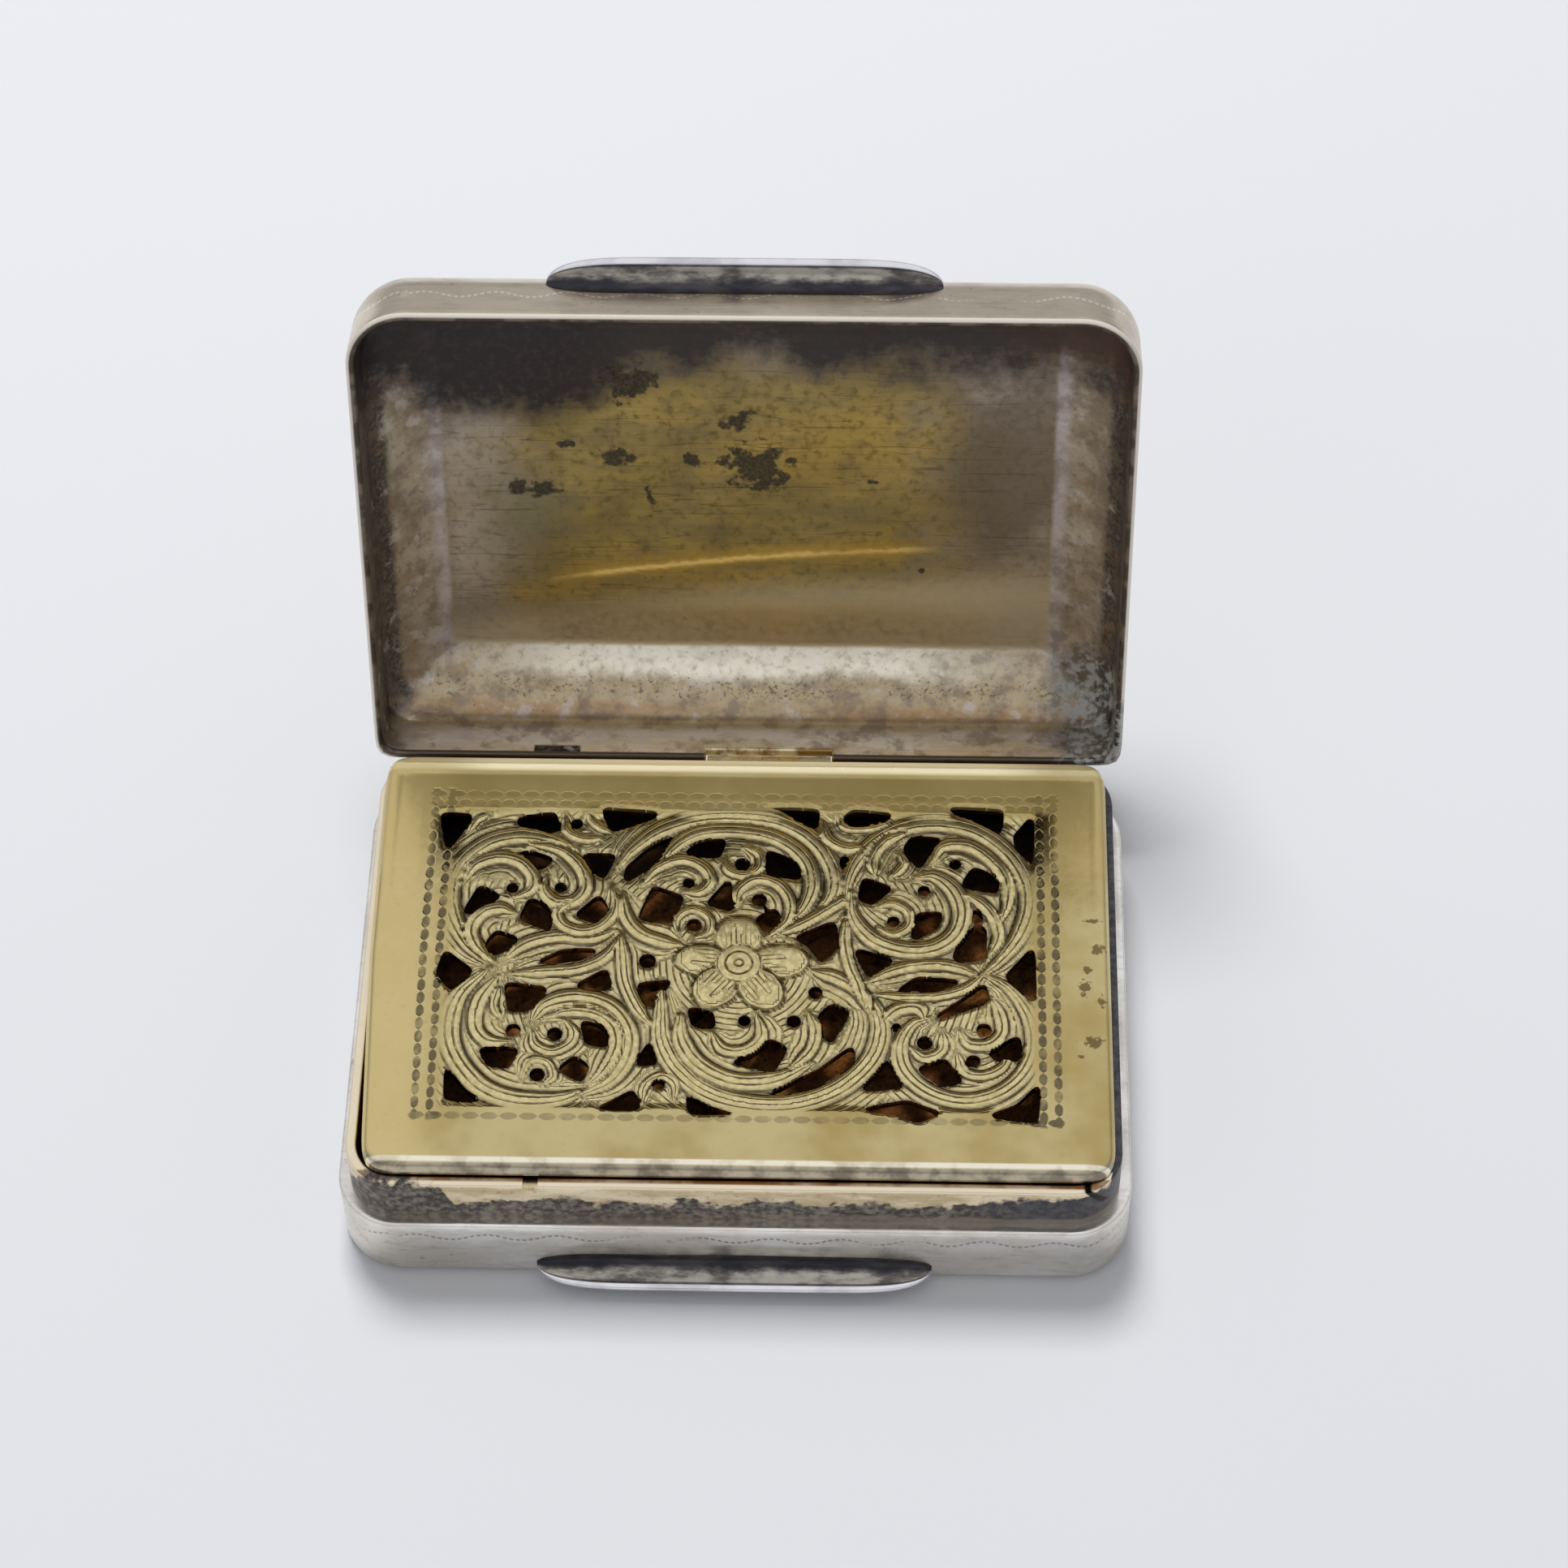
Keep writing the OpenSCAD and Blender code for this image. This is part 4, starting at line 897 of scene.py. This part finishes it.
def grille_finish():
    """Soft yellow gilding with a painted highlight on the left border. Engraved lines are dark where the
    line count passes a whole number, painted shadow makes the strands' edges brown, painted shade darkens
    the piercings' edges and the feet of their walls, rows of lens-shaped cuts frame the field, the
    turned-down edge is worn to silver with a painted highlight along it, the back is olive and less
    metallic as a painted reflection with a painted highlight on its edge, and brown spots stain the right
    side."""
    made, where = metal("engraved_gilt")
    px, py, level = where.parts()
    broad = where.cloud(0.22, 3.0)
    patches = where.cloud(0.9, 3.0)
    grain = where.cloud(3.2, 6.0)
    lined = where.carried("lined")
    count = where.carried("cut_line") + grain.sway(0.14)
    off_line = abs((count + 0.5).step("FRACT") - 0.5)
    pressed = lined * patches.span(0.36, 0.56, 0.35, 1.0)
    groove = off_line.span(0.19, 0.06) * pressed
    rows = [(px, py, -12.95, 0.62), (px, py, -12.3, 0.58), (px, py, 12.35, 0.6), (px, py, 12.95, 0.62),
            (py, px, -7.75, 0.78), (py, px, 7.65, 0.6), (py, px, 8.1, 0.78)]
    chain = chain_row(*rows[0])
    for row in rows[1:]:
        chain = chain.most(chain_row(*row))
    on_top = level.span(6.6, 6.7)
    chain = chain * on_top * abs(px).span(13.25, 13.1) * abs(py - 0.2).span(8.25, 8.1)
    chain = chain * patches.span(0.35, 0.55, 0.5, 1.0) * abs(px).span(11.6, 12.0, 0.5, 1.0)
    color = broad.span(0.34, 0.66).between("b9a369", "d1bf8a")
    # Painted highlight: the left border is lighter
    color = px.span(-11.5, -13.5, 0.0, 0.8).between(color, "dcc78c")
    color = grain.span(0.58, 0.78, 0.0, 0.25).between(color, "9a8550")
    color = (lined * grain.span(0.35, 0.6, 0.95, 0.4)).between(color, "e9d9a3")
    # Painted shadow: dark brown along the edges of the strands
    color = (where.carried("strand_edge_shadow") * 0.9).between(color, "43341b")
    color = (groove * 0.85).between(color, "453617")
    color = (chain * 0.8).between(color, "464037")
    # Painted shade: brown around the edges of the piercings
    color = where.carried("hole_gap").span(0.08, 0.01, 0.0, 0.4).between(color, "5d4a2c")
    # Walls of the piercings, pale above as painted highlight and dark below as painted shade
    color = (lined * level.span(6.8, 6.74, 0.0, 0.55)).between(color, "8d8172")
    wall_foot_shade = abs(px).span(13.6, 13.5) * level.span(6.68, 6.5) * abs(py).span(8.25, 8.15, 0.0, 0.9)
    color = wall_foot_shade.between(color, "2c1d12")
    # Turned-down edge, worn to silver in front, with a painted highlight along it
    bared = (level + patches.sway(0.2)).span(6.82, 6.6, 0.0, 0.8) * py.span(-9.2, -9.4)
    color = bared.between(color, patches.span(0.38, 0.6).between("77736f", "c2b9a6"))
    front_highlight = abs(py + 9.68).span(0.12, 0.05) * patches.span(0.34, 0.56, 0.55, 1.0)
    color = front_highlight.between(color, "fff6e0")
    # Back of the plate, olive and less metallic as a painted reflection of the lid, with a painted
    # highlight along its bent-up edge
    beside = abs(px).span(12.6, 13.2) * py.span(3.0, 5.5)
    rear = (py + patches.sway(0.4)).span(7.1, 7.7).most(beside)
    color = (rear * 0.6).between(color, "a8935a")
    # Painted highlight: near white along the bent-up back edge
    rubbed_and_highlit = py.span(9.25, 9.45) * abs(px).span(13.5, 10.0, 0.3, 1.0)
    color = rubbed_and_highlit.between(color, "fff0c4")
    # Stains as x, y and their half sizes
    stains = [(14.7, 0.6, 0.3, 0.25), (14.1, -1.3, 0.3, 0.4), (14.5, 2.0, 0.35, 0.12),
              (14.4, -3.9, 0.45, 0.3), (14.2, -0.4, 0.2, 0.2), (14.8, -1.9, 0.2, 0.3),
              (13.9, -4.6, 0.2, 0.12)]
    for stain in stains:
        away = where.spot(*stain) + grain.sway(3.4)
        color = away.span(1.0, 0.6, 0.0, 0.75).between(color, "5b4122")
    height = grain * 0.1 - groove - chain * 0.4
    rough = grain.span(0.3, 0.7, 0.13, 0.2) + lined * 0.06
    # Less metallic at the back, for its painted reflection
    metallic = (rear * on_top).span(0.0, 1.0, 1.0, 0.42)
    return dress(made, color, metallic, rough, height, 0.06)


grille.data.materials.append(grille_finish())
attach(grille, "grille")
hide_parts("grille_plate")

# The lid: a second pan raised from silver sheet, cushion-shaped, with a gap in its back wall for the
# grille's strap. Inside, the gilding survives on the floor and the rest is stained grey, rust and black,
# with painted highlights in its hollows.
LID_RIM = 3.75
LID_TOP = 8.5
LID_EDGE_R = 2.45
LID_EDGE_Z = LID_TOP - LID_EDGE_R
STRAP_CEILING = 4.25
LID_GAP = (-1.806, 3.606)
HINGE_Y = 11.6
HINGE_Z = 4.2
LID_OPEN = math.radians(107)
LID_RIM_R = 0.15
NOTCH_OUT = 0.035
HOLLOW_W = 2.85
HOLLOW_SLOPE = 0.3
DENT = 0.035
FLOOR_SAG = 0.06
FLOOR_RINGS = 40
HOLLOW_STEPS = 16
WALL_STEPS = 8
RIM_STEPS = 5


def stood_open(points):
    """Points of the shut lid turned back about the hinge axis to where the lid stands open."""
    y_, z_ = points[..., 1] - HINGE_Y, points[..., 2] - HINGE_Z
    turned = points.copy()
    turned[..., 1] = HINGE_Y + y_ * math.cos(LID_OPEN) + z_ * math.sin(LID_OPEN)
    turned[..., 2] = HINGE_Z - y_ * math.sin(LID_OPEN) + z_ * math.cos(LID_OPEN)
    return turned


edge_out = CORNER_R - LID_EDGE_R
rim_mid = LID_RIM + LID_RIM_R
lid_section = np.vstack([
    floor_rings(edge_out, LID_TOP - SHEET, np.linspace(0.015, 0.985, FLOOR_RINGS)),
    arc(edge_out, LID_EDGE_Z, LID_EDGE_R - SHEET, 90, 0, HOLLOW_STEPS),
    line(inner_out, LID_EDGE_Z, inner_out, rim_mid, WALL_STEPS),
    arc(inner_out + LID_RIM_R, rim_mid, LID_RIM_R, 180, 270, RIM_STEPS),
    arc(CORNER_R - LID_RIM_R, rim_mid, LID_RIM_R, -90, 0, RIM_STEPS),
    line(CORNER_R, rim_mid, CORNER_R, LID_EDGE_Z, WALL_STEPS),
    arc(edge_out, LID_EDGE_Z, LID_EDGE_R, 0, 90, 18),
    floor_rings(edge_out, LID_TOP, np.linspace(0.985, 0.015, 30)),
])
floor_cols = FLOOR_RINGS + HOLLOW_STEPS
lid_inside_cols = floor_cols + WALL_STEPS + 2 * RIM_STEPS
lid_spine, lid_normal = around_path(CORNER_X, CORNER_Y, 0.3, doubled(*LID_GAP))
# The corners at the hinge are squarer than a round: each normal is as long as in an eighth-power round
squarer = (np.abs(lid_normal) ** 8).sum(1, keepdims=True) ** -0.125
lid_reach = np.where(lid_normal[:, 1:] > 0, squarer, 1.0)
lid_shut = carry(lid_spine, lid_normal * lid_reach, lid_section)
along = lid_spine[:, :1]
behind = (lid_normal[:, 1:] > 0.99) & (along > LID_GAP[0]) & (along < LID_GAP[1])
below = lid_shut[..., 2] < LID_EDGE_Z
shorter = (LID_EDGE_Z - STRAP_CEILING) / (LID_EDGE_Z - LID_RIM)
drawn_up = LID_EDGE_Z - (LID_EDGE_Z - lid_shut[..., 2]) * shorter
lid_shut[..., 2] = np.where(behind & below, drawn_up, lid_shut[..., 2])
# At the gap the wall's outer edge stands out a hair, up to the strap's knuckle
column = np.arange(lid_shut.shape[1])
outer = column >= lid_inside_cols - RIM_STEPS
lid_shut[..., 1] += NOTCH_OUT * np.clip((4.7 - lid_shut[..., 2]) / 0.4, 0, 1) * (behind & outer)
# Inside, the floor meets the walls in a wide hollow: a slope that starts sharply at HOLLOW_W from the wall
# and grows into a quarter round. In the corners the distances to both walls join as a fourth power.
x, y = lid_shut[..., 0], lid_shut[..., 1]
from_wall_x = np.clip(HOLLOW_W - (CORNER_X + inner_out - np.abs(x)), 0, HOLLOW_W)
from_wall_y = np.clip(HOLLOW_W - (CORNER_Y + inner_out - np.abs(y)), 0, HOLLOW_W)
into = np.minimum((from_wall_x ** 4 + from_wall_y ** 4) ** 0.25, HOLLOW_W) / HOLLOW_W
round_drop = LID_EDGE_R - SHEET - HOLLOW_SLOPE * HOLLOW_W
hollow_drop = HOLLOW_SLOPE * HOLLOW_W * into + round_drop * (1 - np.sqrt(1 - into ** 2))
lid_shut[:, :floor_cols, 2] = LID_TOP - SHEET - hollow_drop[:, :floor_cols]
# Old dents: shallow waves over the floor, and a sag in its middle that shows only inside
on_floor = np.clip((lid_shut[..., 2] - 7.3) / 0.7, 0, 1)
dents = DENT * np.sin(0.55 * x + 0.6 * np.sin(0.5 * y)) * np.sin(0.62 * y + 0.4 * x)
sag = FLOOR_SAG * np.exp(-(x / 9) ** 2 - (y / 5) ** 2)
lid_shut[..., 2] += on_floor * (dents - DENT + np.where(column < lid_inside_cols, sag, 0.0))
lid = shell_piece("lid_pan_shell", lid_spine, lid_normal, stood_open(lid_shut))
carries(lid, "place", lid_shut.reshape(-1, 3))
carries(lid, "inward", (HOLLOW_W * (1 - into)).ravel())
carries(lid, "sheet", np.tile(lid_section[:, 0] - inner_out, len(lid_spine)))


def lid_inside_finish():
    """Worn gilding over most of the floor with a painted highlight along one crease, brown haze at its
    sides, black tarnish along the front, a painted highlight in the hollow and rusty streaks at the back,
    painted highlight streaks in the side hollows, dark side walls, a dark rim with a pale outer line,
    painted shadow of a slot and a painted reflection of the gilt strap at the hinge, black blotches and a
    crust in one corner."""
    made, where = metal("stained_gilt_inside")
    px, py, level = where.parts()
    inward = where.carried("inward")
    broad = where.cloud(0.16, 3.0)
    patches = where.cloud(0.5, 5.0)
    grain = where.cloud(2.6, 7.0)
    specks = where.cloud(6.0, 4.0)
    streaks = where.cloud(0.8, 5.0, (0.22, 1.0, 1.0))
    lines = where.cloud(1.3, 2.0, (0.05, 1.6, 1.0))
    wander = patches.sway(4.5)
    # Floor: brown haze, then gilding inside a soft box, olive at its left, finely scratched
    haze = broad.span(0.38, 0.62).between("a5957e", "b3a698")
    haze = grain.span(0.46, 0.7, 0.0, 0.6).between(haze, "85745e")
    gilded = (abs(px + 1.2) + wander).span(11.5, 7.0) * (py + wander).span(-7.8, -4.6)
    gilded = gilded * (py + wander * 0.4).span(8.0, 5.0)
    gold = streaks.span(0.34, 0.66).between("94835a", "b39a5c")
    gold = where.spot(4.0, -2.2, 6.0, 3.0).span(1.2, 0.3, 0.0, 0.4).between(gold, "c9a858")
    gold = patches.span(0.48, 0.7, 0.0, 0.7).between(gold, "857856")
    gold = grain.span(0.48, 0.7, 0.0, 0.6).between(gold, "73633a")
    away = where.spot(-10.6, 1.2, 3.6, 3.4) + patches.sway(1.2)
    gold = away.span(1.1, 0.4, 0.0, 0.8).between(gold, "7f7a63")
    away = where.spot(10.6, -1.5, 3.6, 5.5) + patches.sway(1.2)
    haze = away.span(1.2, 0.5, 0.0, 0.75).between(haze, "6f6252")
    color = gilded.between(haze, gold)
    scratch = abs(lines - 0.5).span(0.012, 0.003, 0.0, 0.4)
    color = scratch.between(color, "4d4127")
    away = where.spot(-5.8, 6.4, 3.0, 0.7) + patches.sway(1.6)
    color = away.span(1.1, 0.5, 0.0, 0.55).between(color, "7c6854")
    # One long crease in the floor towards the hinge, with a painted highlight along its edge
    past = px - 0.7
    curve = past * past.step("MULTIPLY_ADD", 0.0045, -0.093)
    beyond = py - 3.3 - (curve + grain.sway(0.3))
    reach = abs(px + 0.4).span(9.0, 6.0)
    glow = abs(beyond + 0.15).span(0.7, 0.1, 0.0, 0.6) * reach
    color = glow.between(color, "cfa953")
    crease_highlight = abs(beyond).span(0.28, 0.03) * reach * patches.span(0.38, 0.58, 0.25, 1.0)
    color = crease_highlight.between(color, "e8c470")
    near_back = beyond.span(0.6, 2.4)
    color = (near_back * 0.75).between(color, "d2bf9a")
    # Hollow and walls: tan at the sides with a painted highlight streak, dark upright walls
    fillet = inward.span(2.83, 2.65)
    wall = patches.span(0.36, 0.64).between("a3927c", "c6b8a6")
    wall = grain.span(0.5, 0.7, 0.0, 0.6).between(wall, "75685b")
    side_streak_highlight = inward.span(2.0, 2.5) * patches.span(0.3, 0.6, 0.3, 0.9)
    wall = side_streak_highlight.between(wall, "d3c8cb")
    upright = (inward + grain.sway(0.5)).span(0.8, 0.45, 0.0, 0.9)
    wall = upright.between(wall, specks.span(0.4, 0.7).between("3a3634", "77726b"))
    # Back: a painted highlight in the hollow, a row of specks, rusty streaks, paler metal, a painted
    # shadow of a slot and a rubbed spot
    from_side = 15.65 - abs(px)
    from_back = 10.65 - py
    nearer = from_side - from_back + patches.sway(3.0)
    back = nearer.span(-0.6, 1.2) * py.span(5.0, 6.5)
    low = level + patches.sway(0.7)
    hollow_highlight = low.span(7.35, 7.75) * abs(px).span(12.5, 5.0, 0.2, 1.0)
    rear = hollow_highlight.between("cbb896", "f8f1de")
    rear = grain.span(0.5, 0.72, 0.0, 0.45).between(rear, "9c8768")
    rusty = abs(low - 6.6).span(0.45, 0.15)
    rear = (rusty * streaks.span(0.36, 0.6, 0.1, 0.65)).between(rear, "b98f62")
    pale = streaks.span(0.4, 0.6).between("e6d6bd", "f6efe8")
    rear = low.span(6.2, 5.4, 0.0, 0.85).between(rear, pale)
    row = abs(low - 7.3).span(0.4, 0.1, 0.0, 0.12) * patches.span(0.36, 0.52, 0.2, 1.0)
    rear = (specks + row).span(0.64, 0.74, 0.0, 0.7).between(rear, "5a4d3c")
    foot = level.span(4.5, 4.3) * back
    # Painted shadow: a black slot where the hinge shows a dark gap
    slot_shadow = foot * abs(px + 8.2).span(1.05, 0.95)
    rear = slot_shadow.between(rear, "0e0a08")
    rubbed_and_highlit = foot * abs(px - 8.8).span(1.7, 1.6)
    rear = (rubbed_and_highlit * 0.7).between(rear, "e3c6a0")
    plain = back.between(wall, rear)
    # Mottled and rusted all over, but for the painted highlight at the back
    mottled = where.cloud(0.9, 6.0)
    rusted = where.cloud(1.3, 6.0, (0.45, 1.0, 1.0))
    wall = mottled.span(0.47, 0.63, 0.0, 0.6).between(plain, "85766c")
    wall = rusted.span(0.5, 0.66, 0.0, 0.4).between(wall, "a98c68")
    wall = mottled.span(0.44, 0.32, 0.0, 0.55).between(wall, "e0d8d4")
    back_highlight = hollow_highlight * back
    wall = (back_highlight * 0.7).between(wall, plain)
    # Rim, pale along its outer line, and a painted reflection of the gilt strap on the edge of the notch
    on_rim = level.span(4.0, 3.9)
    bared = mottled.span(0.4, 0.58).between("7d7266", "4c443d")
    bared = where.carried("sheet").span(0.17, 0.25).between(bared, "e0d7c8")
    wall = on_rim.between(wall, bared)
    wall = (on_rim * back).between(wall, "5e5143")
    in_notch = abs(px - 0.9).span(2.8, 2.74)
    strap_reflection = mottled.span(0.42, 0.6).between("fbf3d0", "a5834c")
    wall = (in_notch * foot).between(wall, strap_reflection)
    color = fillet.between(color, wall)
    # Tarnish along the front rim, deepest on the left, reddish in the right corner
    point = abs(px - 0.5).span(2.6, 0.0, 0.0, 1.2)
    front = py + point + patches.sway(4.0) + grain.sway(2.2)
    deep = px.span(-14.8, -12.6) * px.span(-4.0, -8.0, 0.0, 2.2)
    tarnish = (front - deep).span(-4.4, -7.2, 0.0, 0.96)
    deposit = px.span(-4.0, -8.0).between("352e2b", "231a20")
    deposit = grain.span(0.45, 0.65, 0.0, 0.6).between(deposit, "4a403c")
    reddish = px.span(10.0, 12.8) * patches.span(0.4, 0.6, 0.1, 0.7)
    deposit = reddish.between(deposit, "5c3a24")
    color = tarnish.between(color, deposit)
    bare_rim = on_rim * (1.0 - back)
    color = bare_rim.between(color, bared)
    tarnish = tarnish * (1.0 - bare_rim)
    # Blotches of black as x, y and their half sizes
    blotches = [(0.3, -1.25, 1.1, 0.9), (0.75, -0.7, 0.8, 0.6), (-0.5, -3.5, 0.6, 0.4),
                (-5.6, -1.7, 0.6, 0.4), (-2.5, -1.5, 0.4, 0.35), (-8.7, -0.1, 0.6, 0.4),
                (-9.8, -0.2, 0.4, 0.3), (-4.2, 0.4, 0.18, 0.35), (5.4, -0.5, 0.25, 0.15),
                (-5.0, -5.2, 0.9, 0.8), (-7.6, -2.3, 0.3, 0.2), (7.4, 3.9, 0.15, 0.15)]
    nearest = where.spot(*blotches[0])
    for blotch in blotches[1:]:
        nearest = nearest.least(where.spot(*blotch))
    ragged = nearest + where.cloud(1.7, 7.0).sway(5.0)
    black = ragged.span(1.3, 0.7, 0.0, 0.9) * nearest.span(2.3, 1.5)
    color = black.between(color, specks.span(0.4, 0.65).between("241d14", "4a3f2c"))
    # Pale crust in the back right corner
    away = where.spot(15.0, 9.6, 2.4, 2.4) + patches.sway(1.4) + grain.sway(0.8)
    corner = away.span(1.15, 0.75)
    crust = corner * grain.span(0.42, 0.6, 0.0, 0.85)
    color = (corner * 0.6).between(color, "565350")
    color = crust.between(color, "c3c3be")
    dull = black.most(tarnish).most(crust)
    solid = near_back.most(fillet) * (1.0 - back_highlight)
    metallic = dull.span(0.0, 1.0, 1.0, 0.3) * solid.span(0.0, 1.0, 1.0, 0.55)
    rough = grain.span(0.3, 0.7, 0.28, 0.42) + dull * 0.2
    height = patches * 0.5 + grain * 0.4
    step = beyond.span(-0.12, 0.12, 0.0, 2.0) * reach
    return dress(made, color, metallic, rough, height + step, 0.025)


lid_silver = silver_finish("worn_silver_lid", "c9bca7", "dacdb8", 5.4, "fffaf0", LID_TOP - 0.1)
lid.data.materials.append(lid_silver)
lid.data.materials.append(lid_inside_finish())
# The inside's finish runs out to the last strip of the rim
rows, cols = lid_shut.shape[:2]
kind = np.zeros(len(lid.data.polygons), np.int32)
kind[:rows * (cols - 1)] = np.tile(np.arange(cols - 1) < lid_inside_cols - 1, rows)
kind[rows * (cols - 1)] = 1
lid.data.polygons.foreach_set("material_index", kind)
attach(lid, "lid")
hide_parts("lid_pan")

# The lid's lip: of the same thick silver as the base's and turned upside down, soldered near the top
# edge of the lid's front wall, so that a thumb can lift the lid.
LID_LIP_UP = LID_RIM + 3.0
lid_lip_local, lid_lip_reach = lip_points(SHEET)
lid_lip_shut = lid_lip_local * [1, 1, -1] + [0, FRONT_Y, LID_LIP_UP]
lid_lip = lip_piece("lid_lip", stood_open(lid_lip_shut), lid_lip_local, lid_lip_reach)
lid_lip.data.flip_normals()
lid_lip.data.materials.append(lip_silver)
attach(lid_lip, "lid")
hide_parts("lid_thumb_lip")

# The hinge: knuckles on strips soldered to both back walls, the grille's gilt strap between them, and
# one pin through all. The silver there is dull and brown in patches, and the strap is gilt.


def hinge_finish(name, pale, dark, rusty, metallic=1.0):
    """Rubbed metal: pale and brown in patches, black in fine specks."""
    made = bpy.data.materials.new(name)
    made.use_nodes = True
    place = Shade(made.node_tree, add(made.node_tree, "TexCoord", {}).outputs["Object"])
    where = place.node("VectorMath", {0: place, 1: (1 / MM, 1 / MM, 1 / MM)}, operation="MULTIPLY")
    patches = where.cloud(0.8, 5.0)
    grain = where.cloud(4.0, 6.0)
    color = patches.span(0.36, 0.64).between(dark, pale)
    color = grain.span(0.54, 0.7, 0.0, 0.7).between(color, rusty)
    rough = grain.span(0.3, 0.7, 0.28, 0.48)
    return dress(made, color, metallic, rough, grain, 0.02)


hinge_silver = hinge_finish("rubbed_hinge_silver", "c2b3a2", "7c6f63", "3d332b")
# Painted highlight: the strap is a pale, less metallic gilt
strap_gilt = hinge_finish("pale_highlit_strap_gilt", "f6ebc4", "dcc382", "8a6a34", 0.6)
flange_gilt = hinge_finish("worn_flange_gilt", "b7955a", "80643a", "3b2a17")
finishes = {"grille_strap": strap_gilt, "grille_flange": flange_gilt}
for name in ("base_joint_strip", "base_knuckle_far_left", "base_knuckle_left", "base_knuckle_right",
             "base_knuckle_far_right", "hinge_pin", "pin_plug_left", "pin_plug_right",
             "lid_joint_strip_left", "lid_joint_strip_right", "lid_knuckle_left", "lid_knuckle_right"):
    finishes[name] = hinge_silver
for name, finish in finishes.items():
    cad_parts[name].data.materials.clear()
    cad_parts[name].data.materials.append(finish)

# The stage: a plain pale floor under one soft lamp behind the box and a weak one in front, with a pale
# sky around it that is brighter in mirrors the higher they look.
FLOOR_HALF = 2.0
floor_corners = [(-FLOOR_HALF, -FLOOR_HALF, 0), (FLOOR_HALF, -FLOOR_HALF, 0),
                 (FLOOR_HALF, FLOOR_HALF, 0), (-FLOOR_HALF, FLOOR_HALF, 0)]
floor_mesh = bpy.data.meshes.new("floor")
floor_mesh.from_pydata(floor_corners, [], [(0, 1, 2, 3)])
floor = bpy.data.objects.new("floor", floor_mesh)
bpy.context.scene.collection.objects.link(floor)
floor_paint = bpy.data.materials.new("pale_floor")
floor_paint.use_nodes = True
floor_shader = floor_paint.node_tree.nodes["Principled BSDF"]
floor_shader.inputs["Base Color"].default_value = paint("d8d9dc")
floor_shader.inputs["Roughness"].default_value = 0.6
floor.data.materials.append(floor_paint)

world = bpy.data.worlds.new("studio")
bpy.context.scene.world = world
world.use_nodes = True
sky = world.node_tree
background = sky.nodes["Background"]
background.inputs["Color"].default_value = paint("eef0f4")
upward = Shade(sky, add(sky, "TexCoord", {}).outputs["Generated"]).parts()[2]
mirrored = upward.span(0.05, 0.6, 0.52, 0.94)
in_mirror = Shade(sky, add(sky, "LightPath", {}).outputs["Is Glossy Ray"])
brightness = in_mirror.node("Mix", {0: in_mirror, 2: 0.5, 3: mirrored})
join(sky, brightness, background.inputs["Strength"])


def soft_light(name, place, size, power):
    """Square area lamp at a place in metres, turned to face the box."""
    lamp = bpy.data.lights.new(name, "AREA")
    lamp.size = size
    lamp.energy = power
    holder = bpy.data.objects.new(name, lamp)
    holder.location = place
    bpy.context.scene.collection.objects.link(holder)
    holder.visible_glossy = False
    aim = -holder.location.normalized()
    holder.rotation_euler = aim.to_track_quat("-Z", "Y").to_euler()


soft_light("behind", (-0.054, 0.185, 0.445), 0.15, 1.8)
soft_light("front_left", (-0.3, -0.35, 0.3), 0.3, 0.12)

# The camera: a long lens above the front, found by fitting the box's straight edges in the photograph.
# Angles are in degrees, and the box's middle in the camera's own frame is in millimetres.
PHOTO_SIZE = 1932
FOCAL_PX = 5043.74
TILT, YAW, ROLL = (math.radians(a) for a in (53.799, -2.205, -1.11))
BOX_IN_CAMERA = np.array([-1.76, 11.147, 173.01])


def turn_z(angle):
    """Turn about z by an angle."""
    c, s = math.cos(angle), math.sin(angle)
    return np.array([[c, -s, 0], [s, c, 0], [0, 0, 1]])


tilt_c, tilt_s = math.cos(TILT), math.sin(TILT)
tilted = np.array([[1, 0, 0], [0, -tilt_s, -tilt_c], [0, tilt_c, -tilt_s]])
axes = turn_z(ROLL) @ tilted @ turn_z(YAW)
lens = bpy.data.cameras.new("photo_camera")
lens.sensor_width = 36.0
lens.lens = FOCAL_PX / PHOTO_SIZE * lens.sensor_width
lens.clip_start = 0.01
camera = bpy.data.objects.new("photo_camera", lens)
bpy.context.scene.collection.objects.link(camera)
placed = np.eye(4)
placed[:3, 0], placed[:3, 1], placed[:3, 2] = axes[0], -axes[1], -axes[2]
placed[:3, 3] = -axes.T @ BOX_IN_CAMERA * MM
camera.matrix_world = Matrix(placed.tolist())
bpy.context.scene.camera = camera
bpy.context.scene.view_settings.view_transform = "Standard"
